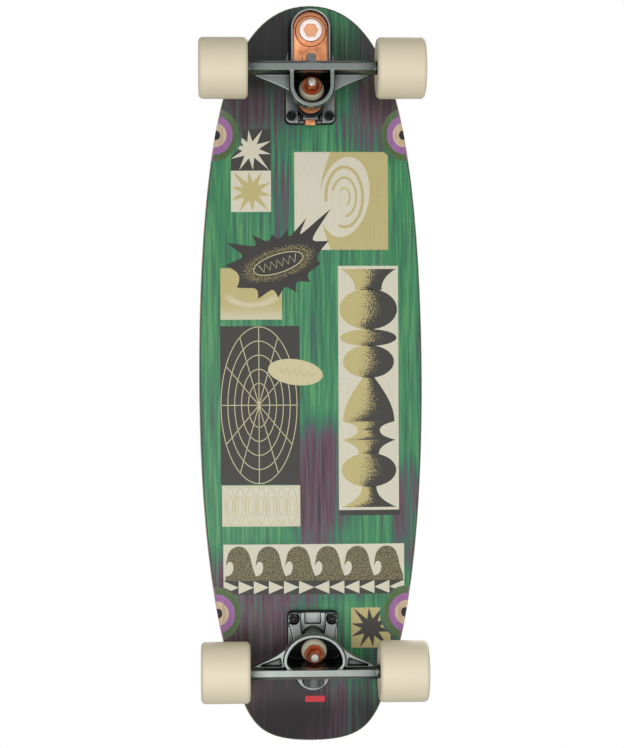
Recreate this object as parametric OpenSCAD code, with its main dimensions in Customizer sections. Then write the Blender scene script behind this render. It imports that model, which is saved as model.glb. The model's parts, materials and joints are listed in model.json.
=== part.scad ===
// Surf skateboard: a seven-ply deck, a swivelling front truck, a fixed rear truck and four soft wheels.
// Z is up, the wheels stand on Z = 0, and the nose points along -Y.

/* [Deck] */
// Length of the deck from nose to tail
deck_length = 800; // [660:1:980]
// Widest part of the deck
deck_width = 243; // [200:1:300]
// Number of veneers in the deck
ply_count = 7; // [7:1:7]
// Thickness of one veneer
ply_t = 1.55; // [1.2:0.05:1.9]
// Thickness of the grip tape
grip_t = 0.8; // [0.5:0.1:1.2]
// Radius of the hand-sanded edge round the deck
edge_r = 6.2; // [6:0.1:12]
// Half the width of the flat middle of the deck
flat_half = 40; // [32:1:48]
// Radius of the raised sides, measured at the underside
concave_r = 500; // [400:10:700]
// Angle of the kicktail
kick_angle = 15; // [8:1:20]
// Radius of the bend into the kicktail, measured at the underside
kick_r = 120; // [90:1:160]
// Distance from the tail end to the start of the bend
kick_from_tail = 62; // [52:1:76]

/* [Wheel wells] */
// Radius of each sanded well where it meets the underside
well_r = 29; // [22:1:36]
// Depth of each well at the deck's edge
well_depth = 5.6; // [4.7:0.1:7]
// Distance from the front axle to the middle of the front wells
front_well_gap = 63; // [50:1:76]
// Distance from the rear axle to the middle of the rear wells
rear_well_gap = 54.5; // [44:0.5:66]

/* [Trucks] */
// Distance from the nose end to the front axle
front_axle_in = 77; // [70:1:95]
// Distance from the tail end to the rear axle
rear_axle_in = 85.5; // [78:0.5:104]
// Height of the rear truck from its base to the axle
rear_truck_h = 52; // [50:1:63]
// Width of both hangers between their end faces
hanger_w = 162; // [140:1:196]
// Thickness of the riser under the front truck
front_riser_t = 3; // [2:0.5:5]
// Thickness of the riser under the rear truck
rear_riser_t = 10; // [8.5:0.5:12]
// Angle that both kingpins lean outboard
kingpin_lean = 18; // [15:1:20]
// Diameter of both kingpins
kingpin_d = 9.5; // [8:0.5:10.5]
// Distance from the front axle to the swivel bolt
swivel_out = 44; // [42:1:50]
// Diameter of the swivel bolt's shank
swivel_d = 12; // [10:0.5:12.5]
// Diameter of the swivel bolt's head
swivel_head_d = 25.2; // [22:0.2:27]

/* [Fasteners] */
// Spacing of the truck bolts across the deck
bolt_pitch_x = 41.3; // [38:0.1:44]
// Spacing of the truck bolts along the deck
bolt_pitch_y = 54; // [50:0.1:58]
// Diameter of the truck bolts
bolt_d = 4.8; // [4:0.1:5.2]
// Width across flats of the truck bolts' nuts
bolt_nut_af = 9.5; // [8:0.1:9.8]

/* [Wheels] */
// Diameter of the wheels
wheel_d = 65; // [56:1:76]
// Width of the wheels
wheel_w = 52; // [46:1:62]
// Radius of the wheel's lips
lip_r = 5; // [3:0.5:6]
// Diameter of both axles
axle_d = 8; // [7:0.1:8.5]
// Outer diameter of the wheel bearings
bearing_d = 22; // [20:0.5:24]
// Width of the wheel bearings
bearing_w = 7; // [6:0.5:8]
// Length of the spacer between the two bearings of a wheel
spacer_l = 10; // [8:0.5:12]

/* [Bushings] */
// Diameter of the bushings
bushing_d = 27; // [23:0.5:28]
// Height of the bushing on the ground side of the hanger
road_bushing_h = 10; // [8:0.5:11]
// Height of the bushing on the deck side of the hanger
board_bushing_h = 11; // [9.5:0.5:12]
// Diameter of the cup washers on the bushings
cup_washer_d = 21.5; // [18:0.5:24]

/* [Hidden] */

$fn = 96;
eps = 0.01;
cut = 1;            // how far a cutting shape runs past the face it opens
running_gap = 0.05; // radial clearance of a part that turns on another
seat_gap = 0.02;    // radial clearance of a part that is pressed or screwed home
clear = 0.3;        // clearance of a part that only passes by

// Places along the board
nose_y = -deck_length / 2;
tail_y = deck_length / 2;
front_axle_y = nose_y + front_axle_in;
rear_axle_y = tail_y - rear_axle_in;
kick_y = tail_y - kick_from_tail;

// Heights
wheel_r = wheel_d / 2;
deck_bottom = wheel_r + rear_truck_h + rear_riser_t;
deck_t = ply_count * ply_t;
front_truck_h = deck_bottom - front_riser_t - wheel_r;

// Plan outline: one corner point at each end, where the round end runs into the side
nose_corner = [76, 53.5];
nose_corner_angle = 30;
nose_end_pull = 45.8;
nose_corner_pull = [19.7, 80.5];
nose_side_pull = 94;
tail_corner = [71.3, 35];
tail_corner_angle = 27;
tail_end_pull = 47;
tail_corner_pull = [24.5, 95.6];
tail_side_pull = 102;
waist_y = 7;
end_steps = 14;
side_steps = 14;

// Truck bolts, counted from the axle towards the middle of the board
front_bolts_in = 17.5;
rear_bolts_in = 24.5;
deck_hole_r = bolt_d / 2 + 0.2;
bolt_head_r = bolt_d;
bolt_head_h = bolt_head_r - bolt_d / 2;
bolt_nut_h = 5.5;
bolt_tip = 0.9;

// Steering: the ring of each hanger lies on the steering axis, square to the kingpin
ring_in = 22.5;
ring_drop = 21.6;
ring_half = 4.5;
ring_bore_r = kingpin_d / 2 + 3.3;
pivot_reach = 38.5;
stem_r = 6;
stem_l = 9;
pivot_cup_t = 2;
cup_washer_t = 1.5;
kingpin_nut_h = 8;
kingpin_nut_af = 14;
kingpin_head_h = 5;
kingpin_head_af = 14;
kingpin_seat = -ring_half - board_bushing_h - cup_washer_t;
kingpin_grip = 5.5;
kingpin_nut_at = ring_half + road_bushing_h + cup_washer_t;
kingpin_top = kingpin_nut_at + kingpin_nut_h + 2;
// Middle of each steering pivot: outboard of the axle, and above the base's deck side
pivot_out = pivot_reach * cos(kingpin_lean) - ring_in;
pivot_drop = ring_drop + pivot_reach * sin(kingpin_lean);
front_pivot_h = front_truck_h - pivot_drop;
rear_pivot_h = rear_truck_h - pivot_drop;

// Base plates
base_half = 26.5;
base_corner_r = 6;
rear_base_t = 6;
rear_base_in = 57.5;
rear_base_out = 11.5;
rear_nose_r = 18.5;
rear_nose_at = 8;
boss_r = 12.5;
housing_r = 11.5;
saddle_l = 13;
saddle_drop = 4.5;
front_base_t = 8;
front_base_in = 52;
shoulder_in = 27;         // from the swivel to where the front base starts to narrow
neck_in = 11;
channel_half = 12.5;
channel_end = 33;         // from the swivel to the outboard end of the channel
channel_floor = 2;
front_nut_sink = 5;

// Swivel stack, as heights from the deck side of the front base
thrust_t = 1.8;
arm_low = front_base_t + thrust_t;
arm_floor = front_pivot_h - 1.5;
cover_t = 2;
arm_rim = arm_floor + 6;
cover_top = arm_floor + cover_t;
cover_ring_h = 1.5;
head_seat = cover_top + cover_ring_h;
swivel_head_h = 8;
socket_af = 14;
socket_depth = 6;
lock_nut_af = 16;
lock_nut_h = 4;
bush_wall = 2.5;
thrust_r = 19;
arm_half_low = 24;
arm_half_rim = 20.9;
arm_nose_at = swivel_out + 3;
rim_w = 1.9;
tail_r = 14.3;
tail_in = 47.5;
tail_flare = 3;         // where the arm's tail starts to narrow
tail_top = arm_floor - 5.5;
tail_low = 15;
nut_sweep_r = 84;
cover_boss_r = 9;
cover_boss_top = front_pivot_h + stem_r + pivot_cup_t + 4.5;

// Centring spring round the swivel bolt, with one leg along the base
spring_wire_r = 1;
spring_coil_r = 14.2;
spring_low = 3.2;
spring_pitch = 2.2;
spring_turns = 1.5;
spring_sides = 8;
spring_steps = 20;
spring_tab_top = 13;
leg_end_in = 39.5;
block_half = 7.6;
block_in = 42.5;
block_l = 6.2;
block_top = 11;
adjuster_half = 6.5;
adjuster_l = 5.5;
adjuster_r = 2.5;

// Hangers, with y outboard of the axle and z towards the ground, both counted from the axle
barrel_r = 7.2;
barrel_at = hanger_w / 2 - 12.6;
barrel_l = 2;
bar_section = [[-6.4, -7], [6.2, -7], [6.2, -2], [4.9, 6.2], [-2.6, 6.2], [-6.4, -1]];
flange_y = 8.6;
flange_z = [-6.5, -4];
bar_flank = 5.4;          // where the wings and gussets meet the bar's inboard flank
cup_r = 23.4;
cup_bore = 19.2;
cup_foot_r = 17.5;        // radius of the front cup at its deck side
cup_flare = 9;            // height over which the front cup widens
cup_rim = 5.6;
cup_back = 3.2;           // how far the front cup's middle lies inboard of the kingpin
cup_flat = 10.6;          // from the kingpin to the flat outboard side of both openings
rim_out = 8.8;            // how far the kingpin's lean has carried the openings outboard at the rim
rear_wall = 3.4;
cup_draft = 0.8;          // how far each cup's inboard side stands out beyond its rim
gusset_z = [-10, -2];
wing_top = 1.5;
pocket_depth = 4.5;
bushing_room_gap = 0.7;

// Wheel and bearing stack, as distances from the middle of the board
speed_ring_t = 0.8;
stack_l = 2 * bearing_w + spacer_l;
wheel_mid = hanger_w / 2 + speed_ring_t + stack_l / 2;
axle_nut_h = 6.5;
axle_nut_af = 12.7;
axle_half = wheel_mid + stack_l / 2 + speed_ring_t + axle_nut_h + 1.6;
inner_race_r = axle_d / 2 + 2;
outer_race_t = 1.6;
shield_t = 0.5;
dish_r = 24;
dish_floor_r = bearing_d / 2 + 2;
bearing_lip = 1.5;
wheel_bore_r = bearing_d / 2 - 2;

// ---------------------------------------------------------------- helpers

function bezier(a, b, c, d, t) =
    pow(1 - t, 3) * a + 3 * pow(1 - t, 2) * t * b + 3 * (1 - t) * t * t * c + t * t * t * d;

// Half of one end: from the middle of the end to the widest point of the deck
function end_half(corner, angle, end_pull, corner_pull, side_pull, to_waist) =
    let (
        run = [sin(angle), cos(angle)],
        wide = [deck_width / 2, to_waist]
    )
    concat(
        [for (i = [0 : end_steps - 1])
            bezier([0, 0], [end_pull, 0], corner - corner_pull[0] * run, corner, i / end_steps)],
        [for (i = [0 : side_steps - 1])
            bezier(corner, corner + corner_pull[1] * run, wide - [0, side_pull], wide, i / side_steps)]
    );

nose_half = [for (p = end_half(nose_corner, nose_corner_angle, nose_end_pull, nose_corner_pull,
                               nose_side_pull, waist_y - nose_y)) [p.x, nose_y + p.y]];
tail_half = [for (p = end_half(tail_corner, tail_corner_angle, tail_end_pull, tail_corner_pull,
                               tail_side_pull, tail_y - waist_y)) [p.x, tail_y - p.y]];
waist = [deck_width / 2, waist_y];
right_side = concat(nose_half, [waist], [for (i = [len(tail_half) - 1 : -1 : 0]) tail_half[i]]);
outline = concat(right_side, [for (i = [len(right_side) - 2 : -1 : 1]) [-right_side[i].x, right_side[i].y]]);

function inward(points, i, d) =
    let (
        n = len(points),
        along = points[(i + 1) % n] - points[(i + n - 1) % n]
    )
    points[i] + d / norm(along) * [-along.y, along.x];

function inset(points, d) = [for (i = [0 : len(points) - 1]) inward(points, i, d)];

// Half-width of the deck at a place along it
function edge_at(y) = lookup(y, [for (p = right_side) [p.y, p.x]]);

// How far the sanded edge has drawn a layer in, from the height of its middle
function edge_inset(z) = edge_r - sqrt(edge_r * edge_r - pow(z - deck_t / 2, 2));

// Height of the deck's underside above its flat middle, at a distance from the middle
function concave_rise(x) = concave_r - sqrt(concave_r * concave_r - pow(max(0, x - flat_half), 2));

module hex(af, h) {
    cylinder(r = af / 2 / cos(30), h = h, $fn = 6);
}

module ring(outer, inner, h) {
    difference() {
        cylinder(r = outer, h = h);
        translate([0, 0, -cut]) cylinder(r = inner, h = h + 2 * cut);
    }
}

module bolt_places() {
    for (x = [-1, 1], y = [-1, 1]) translate([x * bolt_pitch_x / 2, y * bolt_pitch_y / 2, 0]) children();
}

// Frames: in each truck +y points outboard and +z down to the ground, from the base's deck side
module front_frame() {
    translate([0, front_axle_y, deck_bottom - front_riser_t]) rotate([180, 0, 0]) children();
}

module rear_frame() {
    translate([0, rear_axle_y, deck_bottom - rear_riser_t]) rotate([0, 180, 0]) children();
}

// The kingpin's frame: +z along the kingpin to its nut, +y out along the steering axis
module kingpin_frame(truck_h) {
    translate([0, -ring_in, truck_h - ring_drop]) rotate([-kingpin_lean, 0, 0]) children();
}

module steering_frame(truck_h) {
    kingpin_frame(truck_h) rotate([-90, 0, 0]) children();
}

// ---------------------------------------------------------------- deck

arc_steps = 6;
arc_span = asin((deck_width / 2 + 6 - flat_half) / (concave_r - deck_t - grip_t));

function layer_side(z, sign) = [
    for (i = [0 : arc_steps])
        let (a = i * arc_span / arc_steps)
        [sign * (flat_half + (concave_r - z) * sin(a)), concave_r - (concave_r - z) * cos(a)]
];

function reversed(points) = [for (i = [len(points) - 1 : -1 : 0]) points[i]];

function layer_section(z0, z1) = concat(
    reversed(layer_side(z0, -1)), layer_side(z0, 1), reversed(layer_side(z1, 1)), layer_side(z1, -1));

// One layer of the deck between two heights above the underside, before it is trimmed to the outline
module bent_layer(z0, z1) {
    section = layer_section(z0, z1);
    front_l = kick_y - nose_y + cut;
    tail_l = kick_from_tail + cut;
    translate([0, kick_y, deck_bottom]) rotate([90, 0, 0]) linear_extrude(front_l) polygon(section);
    translate([0, kick_y, deck_bottom + kick_r]) rotate([0, 90, 0])
        rotate_extrude(angle = kick_angle) polygon([for (p = section) [kick_r - p.y, p.x]]);
    translate([0, kick_y, deck_bottom + kick_r]) rotate([kick_angle, 0, 0]) translate([0, tail_l, -kick_r])
        rotate([90, 0, 0]) linear_extrude(tail_l) polygon(section);
}

module deck_holes() {
    translate([0, front_axle_y + front_bolts_in, deck_bottom - cut]) bolt_places()
        cylinder(r = deck_hole_r, h = deck_t + grip_t + 2 * cut);
    translate([0, rear_axle_y - rear_bolts_in, deck_bottom - cut]) bolt_places()
        cylinder(r = deck_hole_r, h = deck_t + grip_t + 2 * cut);
}

module head_sinks() {
    for (y = [front_axle_y + front_bolts_in, rear_axle_y - rear_bolts_in])
        translate([0, y, deck_bottom + deck_t - bolt_head_h]) bolt_places() {
            cylinder(r1 = bolt_d / 2 + 0.1, r2 = bolt_head_r + 0.1, h = bolt_head_h);
            translate([0, 0, bolt_head_h - eps]) cylinder(r = bolt_head_r + 0.1, h = grip_t + cut);
        }
}

module wells() {
    for (y = [front_axle_y + front_well_gap, rear_axle_y - rear_well_gap], side = [-1, 1]) {
        x = edge_at(y);
        tilt = asin(max(0, x - flat_half) / concave_r);
        past = 2;
        translate([side * x, y, deck_bottom + concave_rise(x)]) rotate([0, -side * tilt, 0])
            translate([0, 0, -past])
                cylinder(r1 = well_r * (1 + past / well_depth), r2 = 0.5, h = past + well_depth);
    }
}

module layer(z0, z1) {
    difference() {
        intersection() {
            translate([0, 0, deck_bottom - cut]) linear_extrude(deck_width / 2)
                polygon(inset(outline, edge_inset((z0 + z1) / 2)));
            bent_layer(z0, z1);
        }
        deck_holes();
        if (z0 < well_depth) wells();
        if (z1 > deck_t - bolt_head_h) head_sinks();
    }
}

module ply(i, tint) {
    color(tint) layer((i - 1) * ply_t, i * ply_t);
}

module ply_1() ply(1, "seagreen");
module ply_2() ply(2, "orchid");
module ply_3() ply(3, "bisque");
module ply_4() ply(4, "dimgray");
module ply_5() ply(5, "bisque");
module ply_6() ply(6, "orchid");
module ply_7() ply(7, "burlywood");

module grip_tape() {
    color("black") layer(deck_t, deck_t + grip_t);
}

// ---------------------------------------------------------------- truck bases

module rounded_rect(x0, x1, y0, y1, r) {
    translate([x0 + r, y0]) square([x1 - x0 - 2 * r, y1 - y0]);
    translate([x0, y0 + r]) square([x1 - x0, y1 - y0 - 2 * r]);
    for (x = [x0 + r, x1 - r], y = [y0 + r, y1 - r]) translate([x, y]) circle(r);
}

module rear_base_plan(grow) {
    side = base_half + grow;
    rounded_rect(-side, side, -rear_base_in - grow, rear_base_out + grow, base_corner_r);
    translate([0, rear_nose_at]) circle(rear_nose_r + grow);
}

module front_base_plan(grow) {
    side = base_half + grow;
    shoulder = swivel_out - shoulder_in;
    rounded_rect(-side, side, -front_base_in - grow, shoulder, base_corner_r);
    both_sides([[0, shoulder - base_corner_r], [side, shoulder - base_corner_r], [side, shoulder],
                [thrust_r + 3, swivel_out - neck_in], [thrust_r + grow, swivel_out], [0, swivel_out]]);
    translate([0, swivel_out]) circle(thrust_r + 1 + grow);
}

module riser_holes(bolts_in) {
    translate([0, -bolts_in, -cut]) bolt_places() cylinder(r = deck_hole_r, h = 2 * cut + rear_riser_t);
}

module front_riser() {
    color("black") front_frame() translate([0, 0, -front_riser_t]) difference() {
        linear_extrude(front_riser_t) front_base_plan(1);
        riser_holes(front_bolts_in);
    }
}

module rear_riser() {
    color("black") rear_frame() translate([0, 0, -rear_riser_t]) difference() {
        linear_extrude(rear_riser_t) rear_base_plan(1);
        riser_holes(rear_bolts_in);
    }
}

// Two raised side rails that run from the inboard bolts to the kingpin boss
module rear_rails() {
    rail_low = 2;
    rail_plan = [[13.5, 1], [25.5, 1], [25.5, 12], [20, 33], [10.5, 33], [13.5, 14]];
    rail_rise = [[0, 0], [0, rear_base_t + 2.5], [12, rear_base_t + 3.5], [34, 14], [34, 0]];
    for (side = [-1, 1]) {
        intersection() {
            translate([0, 0, rail_low]) linear_extrude(20)
                polygon([for (p = rail_plan) [side * p.x, p.y - rear_base_in]]);
            rotate([90, 0, 90]) translate([0, 0, -base_half]) linear_extrude(2 * base_half)
                polygon([for (p = rail_rise) p + [-rear_base_in, 0]]);
        }
    }
}

module pivot_housing(truck_h) {
    intersection() {
        steering_frame(truck_h) translate([0, 0, pivot_reach - stem_l])
            cylinder(r = housing_r, h = stem_l + pivot_cup_t + 1.5);
        translate([-50, -50, 0]) cube([100, 100, 100]);
    }
}

module pivot_bore(truck_h) {
    steering_frame(truck_h) translate([0, 0, pivot_reach - stem_l - 6])
        cylinder(r = stem_r + pivot_cup_t + running_gap + seat_gap, h = stem_l + 6 + pivot_cup_t);
}

module kingpin_bore(truck_h) {
    kingpin_frame(truck_h) {
        translate([0, 0, kingpin_seat - 30]) cylinder(r = kingpin_d / 2 + seat_gap, h = 40);
        translate([0, 0, kingpin_seat - kingpin_grip - 30])
            hex(kingpin_head_af + 0.4, 30);
    }
}

module kingpin_boss(truck_h, low, r) {
    intersection() {
        kingpin_frame(truck_h) translate([0, 0, kingpin_seat - 30]) cylinder(r = r, h = 30);
        translate([-50, -100, low]) cube([100, 200, 60]);
    }
}

module rear_base() {
    color("gray") rear_frame() difference() {
        union() {
            linear_extrude(rear_base_t) rear_base_plan(0);
            rear_rails();
            kingpin_boss(rear_truck_h, 0, boss_r);
            pivot_housing(rear_truck_h);
            // Saddle that carries the housing down to the plate
            translate([-housing_r, rear_nose_at - 4, rear_base_t - 1])
                cube([2 * housing_r, saddle_l, rear_pivot_h - saddle_drop - rear_base_t + 1]);
        }
        translate([0, -rear_bolts_in, -cut]) bolt_places() cylinder(r = deck_hole_r, h = 40);
        translate([0, -rear_bolts_in, rear_base_t]) bolt_places() cylinder(r = bolt_nut_af / 2 + 1.6, h = 40);
        // Open pocket between the rails
        translate([-9, -rear_base_in - cut, 1.5]) cube([18, 12 + cut, 20]);
        kingpin_bore(rear_truck_h);
        pivot_bore(rear_truck_h);
    }
}

module front_base() {
    leg_half = spring_wire_r + 0.8;
    color("gray") front_frame() difference() {
        union() {
            difference() {
                linear_extrude(front_base_t) front_base_plan(0);
                // Channel between the two side rails
                translate([-channel_half, -front_base_in - cut, channel_floor])
                    cube([2 * channel_half, front_base_in + swivel_out - channel_end + cut, front_base_t]);
            }
            // Block that holds the spring's leg, with a bevel on each side
            translate([0, -block_in, 0]) rotate([90, 0, 0]) linear_extrude(block_l)
                polygon([[-channel_half, 1], [channel_half, 1], [channel_half, 5], [block_half, block_top],
                         [-block_half, block_top], [-channel_half, 5]]);
        }
        translate([0, -front_bolts_in, -cut]) bolt_places() cylinder(r = deck_hole_r, h = 40);
        // The outboard nuts are sunk, so that the arm can swing over them
        for (x = [-1, 1]) translate([x * bolt_pitch_x / 2, bolt_pitch_y / 2 - front_bolts_in,
                                     front_base_t - front_nut_sink])
            cylinder(r = bolt_nut_af / 2 + 1.2, h = 40);
        // Ring-shaped pocket of the spring, and the slot of its leg
        translate([0, swivel_out, channel_floor]) difference() {
            cylinder(r = spring_coil_r + leg_half, h = front_base_t);
            translate([0, 0, -cut]) cylinder(r = spring_coil_r - leg_half, h = front_base_t + 2 * cut);
        }
        translate([-leg_half, 0, channel_floor]) cube([2 * leg_half, swivel_out - spring_coil_r, 20]);
        translate([0, swivel_out, -cut]) cylinder(r = swivel_d / 2 + seat_gap, h = 40);
        translate([0, swivel_out, -cut]) hex(lock_nut_af + 0.4, lock_nut_h + 0.3 + cut);
        translate([0, -block_in + cut, block_top / 2]) rotate([90, 0, 0])
            cylinder(r = adjuster_r + seat_gap, h = block_l + 2 * cut);
    }
}

// ---------------------------------------------------------------- deck fasteners

// One countersunk bolt, from its head's flat face down; the length is to its tip
module deck_bolt(length) {
    recess = 1.2;
    difference() {
        union() {
            cylinder(r1 = bolt_head_r, r2 = bolt_d / 2, h = bolt_head_h);
            cylinder(r = bolt_d / 2, h = length - 0.5);
            translate([0, 0, length - 0.5]) cylinder(r1 = bolt_d / 2, r2 = bolt_d / 2 - 0.5, h = 0.5);
        }
        for (a = [0, 90]) rotate([0, 0, a]) translate([-recess / 2, -bolt_head_r * 0.55, -cut])
            cube([recess, bolt_head_r * 1.1, cut + 1.8]);
    }
}

module front_deck_bolts() {
    run = deck_t + front_riser_t + front_base_t;
    color("dimgray") front_frame() translate([0, -front_bolts_in, -deck_t - front_riser_t])
        for (x = [-1, 1], y = [-1, 1]) translate([x * bolt_pitch_x / 2, y * bolt_pitch_y / 2, 0])
            deck_bolt(run + bolt_nut_h + bolt_tip - (y > 0 ? front_nut_sink : 0));
}

module rear_deck_bolts() {
    color("dimgray") rear_frame() translate([0, -rear_bolts_in, -deck_t - rear_riser_t])
        bolt_places() deck_bolt(deck_t + rear_riser_t + rear_base_t + bolt_nut_h + bolt_tip);
}

module deck_nut() {
    difference() {
        union() {
            hex(bolt_nut_af, bolt_nut_h - 1.5);
            cylinder(r = bolt_nut_af / 2 - 0.3, h = bolt_nut_h);
        }
        translate([0, 0, -cut]) cylinder(r = bolt_d / 2 + seat_gap, h = bolt_nut_h + 2 * cut);
    }
}

module front_deck_nuts() {
    color("black") front_frame() translate([0, -front_bolts_in, front_base_t])
        for (x = [-1, 1], y = [-1, 1])
            translate([x * bolt_pitch_x / 2, y * bolt_pitch_y / 2, y > 0 ? -front_nut_sink : 0]) deck_nut();
}

module rear_deck_nuts() {
    color("black") rear_frame() translate([0, -rear_bolts_in, rear_base_t]) bolt_places() deck_nut();
}

// ---------------------------------------------------------------- swivel

module swivel_bolt() {
    shank = head_seat - 0.3;
    chamfer = 1;
    color("silver") front_frame() translate([0, swivel_out, 0]) difference() {
        union() {
            translate([0, 0, 0.3]) cylinder(r = swivel_d / 2, h = shank);
            translate([0, 0, head_seat]) cylinder(r = swivel_head_d / 2, h = swivel_head_h - chamfer);
            translate([0, 0, head_seat + swivel_head_h - chamfer])
                cylinder(r1 = swivel_head_d / 2, r2 = swivel_head_d / 2 - chamfer, h = chamfer);
        }
        translate([0, 0, head_seat + swivel_head_h - socket_depth]) hex(socket_af, socket_depth + cut);
    }
}

module swivel_lock_nut() {
    color("dimgray") front_frame() translate([0, swivel_out, 0.3]) difference() {
        hex(lock_nut_af, lock_nut_h);
        translate([0, 0, -cut]) cylinder(r = swivel_d / 2 + seat_gap, h = lock_nut_h + 2 * cut);
    }
}

// Route of the spring's wire: along the leg, round the coil and up into the arm
leg_z = spring_low;
coil_points = [
    for (i = [0 : spring_steps * spring_turns])
        let (a = -90 + 360 * i / spring_steps)
        [spring_coil_r * cos(a), swivel_out + spring_coil_r * sin(a), leg_z + spring_pitch * i / spring_steps]
];
spring_end = coil_points[len(coil_points) - 1];
spring_route = concat(
    [[0, -leg_end_in, block_top / 2], [0, -leg_end_in + 12, leg_z + 1.4], [0, 0, leg_z],
     [0, swivel_out - spring_coil_r - 2.5, leg_z]],
    [for (i = [1 : len(coil_points) - 2]) coil_points[i]],
    [spring_end + [1.6, 0, 0], spring_end + [0.3, 0, 0.9], [spring_end.x, spring_end.y, spring_tab_top]]
);

function unit(v) = v / norm(v);

// The wire's direction at a point of its route
function heading(route, i) =
    unit(route[min(i + 1, len(route) - 1)] - route[max(i - 1, 0)]);

function wire_ring(route, i, side_dir) =
    let (
        ahead = heading(route, i),
        u = unit(side_dir - (side_dir * ahead) * ahead),
        v = cross(ahead, u)
    )
    [for (k = [0 : spring_sides - 1])
        let (a = 360 * k / spring_sides)
        route[i] + spring_wire_r * (cos(a) * u + sin(a) * v)];

// Side directions carried along the route, so that the rings don't twist
function carried(route, i, dir) =
    i == len(route) ? [] :
    let (
        ahead = heading(route, i),
        u = unit(dir - (dir * ahead) * ahead)
    )
    concat([u], carried(route, i + 1, u));

module wire(route) {
    n = len(route);
    sides = carried(route, 0, [1, 0, 0]);
    points = [for (i = [0 : n - 1]) each wire_ring(route, i, sides[i])];
    faces = concat(
        [[for (k = [0 : spring_sides - 1]) k]],
        [for (i = [0 : n - 2], k = [0 : spring_sides - 1])
            let (next = (k + 1) % spring_sides, low = i * spring_sides, high = low + spring_sides)
            each [[low + k, high + k, high + next], [low + k, high + next, low + next]]],
        [[for (k = [spring_sides - 1 : -1 : 0]) (n - 1) * spring_sides + k]]
    );
    polyhedron(points, faces);
}

module centring_spring() {
    color("darkgray") front_frame() wire(spring_route);
}

module spring_adjuster() {
    shank = leg_end_in - block_in - block_l;
    color("peru") front_frame() {
        translate([0, -block_in - block_l, 0]) rotate([90, 0, 0]) linear_extrude(adjuster_l)
            polygon([[-adjuster_half, 3], [adjuster_half, 3], [adjuster_half, 7],
                     [adjuster_half - 1.5, 8.5], [-adjuster_half + 1.5, 8.5], [-adjuster_half, 7]]);
        translate([0, -leg_end_in, block_top / 2]) rotate([90, 0, 0])
            cylinder(r = adjuster_r, h = -shank + eps);
    }
}

// Plan of the arm's tail, from the swivel to its round inboard end
module tail_plan() {
    wide = arm_half_low;
    tail_mid = tail_r - tail_in;
    both_sides([[0, tail_mid], [tail_r, tail_mid], [tail_r, tail_mid + 6], [wide, tail_flare],
                [wide, tail_flare + 8], [0, tail_flare + 8]]);
    translate([0, tail_mid]) circle(tail_r);
}

// Drafted body of the arm's nose, drawn in by a distance
module arm_nose(draw, low) {
    top_half = arm_half_rim - draw;
    low_half = arm_half_low - draw;
    h = arm_rim - arm_low;
    translate([0, arm_nose_at, low]) cylinder(r1 = low_half, r2 = top_half, h = h);
    translate([0, arm_nose_at, low]) rotate([90, 0, 0]) linear_extrude(arm_nose_at - tail_flare - 2)
        polygon([[-low_half, 0], [low_half, 0], [top_half, h], [-top_half, h]]);
}

module swivel_arm() {
    hub_r = swivel_d / 2 + running_gap + bush_wall + seat_gap;
    color([0.16, 0.17, 0.18]) front_frame() difference() {
        union() {
            arm_nose(0, arm_low);
            translate([0, 0, arm_low]) linear_extrude(tail_top - arm_low) tail_plan();
            kingpin_boss(front_truck_h, arm_low, 9.5);
        }
        // Tray that the cover lies in
        intersection() {
            arm_nose(rim_w, arm_low);
            translate([-50, pivot_out + 2 - 12, arm_floor]) cube([100, 100, 20]);
        }
        // Room for the stem of the hanger
        translate([-stem_r - 2, 0, tail_top]) cube([2 * stem_r + 4, pivot_out, 20]);
        translate([0, swivel_out, 0]) cylinder(r = hub_r, h = 60);
        translate([0, spring_end.y, 0]) cylinder(r = spring_wire_r + 0.7, h = spring_tab_top + 1);
        // The tail rides over the inboard nuts
        difference() {
            translate([-60, -60, arm_low - cut]) cube([120, 60, tail_low - arm_low + cut]);
            translate([0, swivel_out, 0]) cylinder(r = nut_sweep_r, h = 60);
        }
        kingpin_bore(front_truck_h);
        // Seat of the deck-side cup washer and bushing
        kingpin_frame(front_truck_h) translate([0, 0, kingpin_seat])
            cylinder(r = max(cup_washer_d, bushing_d - 4) / 2 + 0.5, h = 40);
        pivot_bore(front_truck_h);
        translate([0, pivot_out, cover_boss_top - 12]) cylinder(r = 2.5 + seat_gap, h = 30);
    }
}

module arm_cover() {
    color([0.80, 0.50, 0.33]) front_frame() {
        difference() {
            union() {
                intersection() {
                    arm_nose(rim_w + seat_gap, arm_low);
                    translate([-50, pivot_out - 9, arm_floor]) cube([100, 100, cover_t]);
                }
                translate([0, swivel_out, cover_top]) cylinder(r = 16, h = cover_ring_h);
                translate([0, pivot_out, arm_floor])
                    cylinder(r = cover_boss_r, h = cover_boss_top - arm_floor);
            }
            translate([0, swivel_out, 0]) cylinder(r = swivel_d / 2 + 1, h = 60);
            pivot_bore(front_truck_h);
            translate([0, pivot_out, 0]) cylinder(r = 2.5 + seat_gap, h = 60);
            translate([0, pivot_out, cover_boss_top - 2]) cylinder(r = 5.2, h = 10);
        }
    }
}

module swivel_bush() {
    color("darkgoldenrod") front_frame() translate([0, swivel_out, arm_low])
        ring(swivel_d / 2 + running_gap + bush_wall, swivel_d / 2 + running_gap, arm_floor - arm_low);
}

module swivel_thrust_washer() {
    color("silver") front_frame() translate([0, swivel_out, front_base_t]) difference() {
        ring(thrust_r, swivel_d / 2 + running_gap, thrust_t);
        translate([0, spring_coil_r, -cut]) cylinder(r = spring_wire_r + 0.7, h = thrust_t + 2 * cut);
    }
}

module pivot_cap_screw() {
    color("gray") front_frame() translate([0, pivot_out, cover_boss_top - 2]) difference() {
        union() {
            cylinder(r = 4.8, h = 3.5);
            translate([0, 0, -1]) cylinder(r = 2.5, h = 1 + eps);
        }
        translate([0, 0, 1.5]) hex(4, 4);
    }
}

// ---------------------------------------------------------------- steering parts

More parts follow.
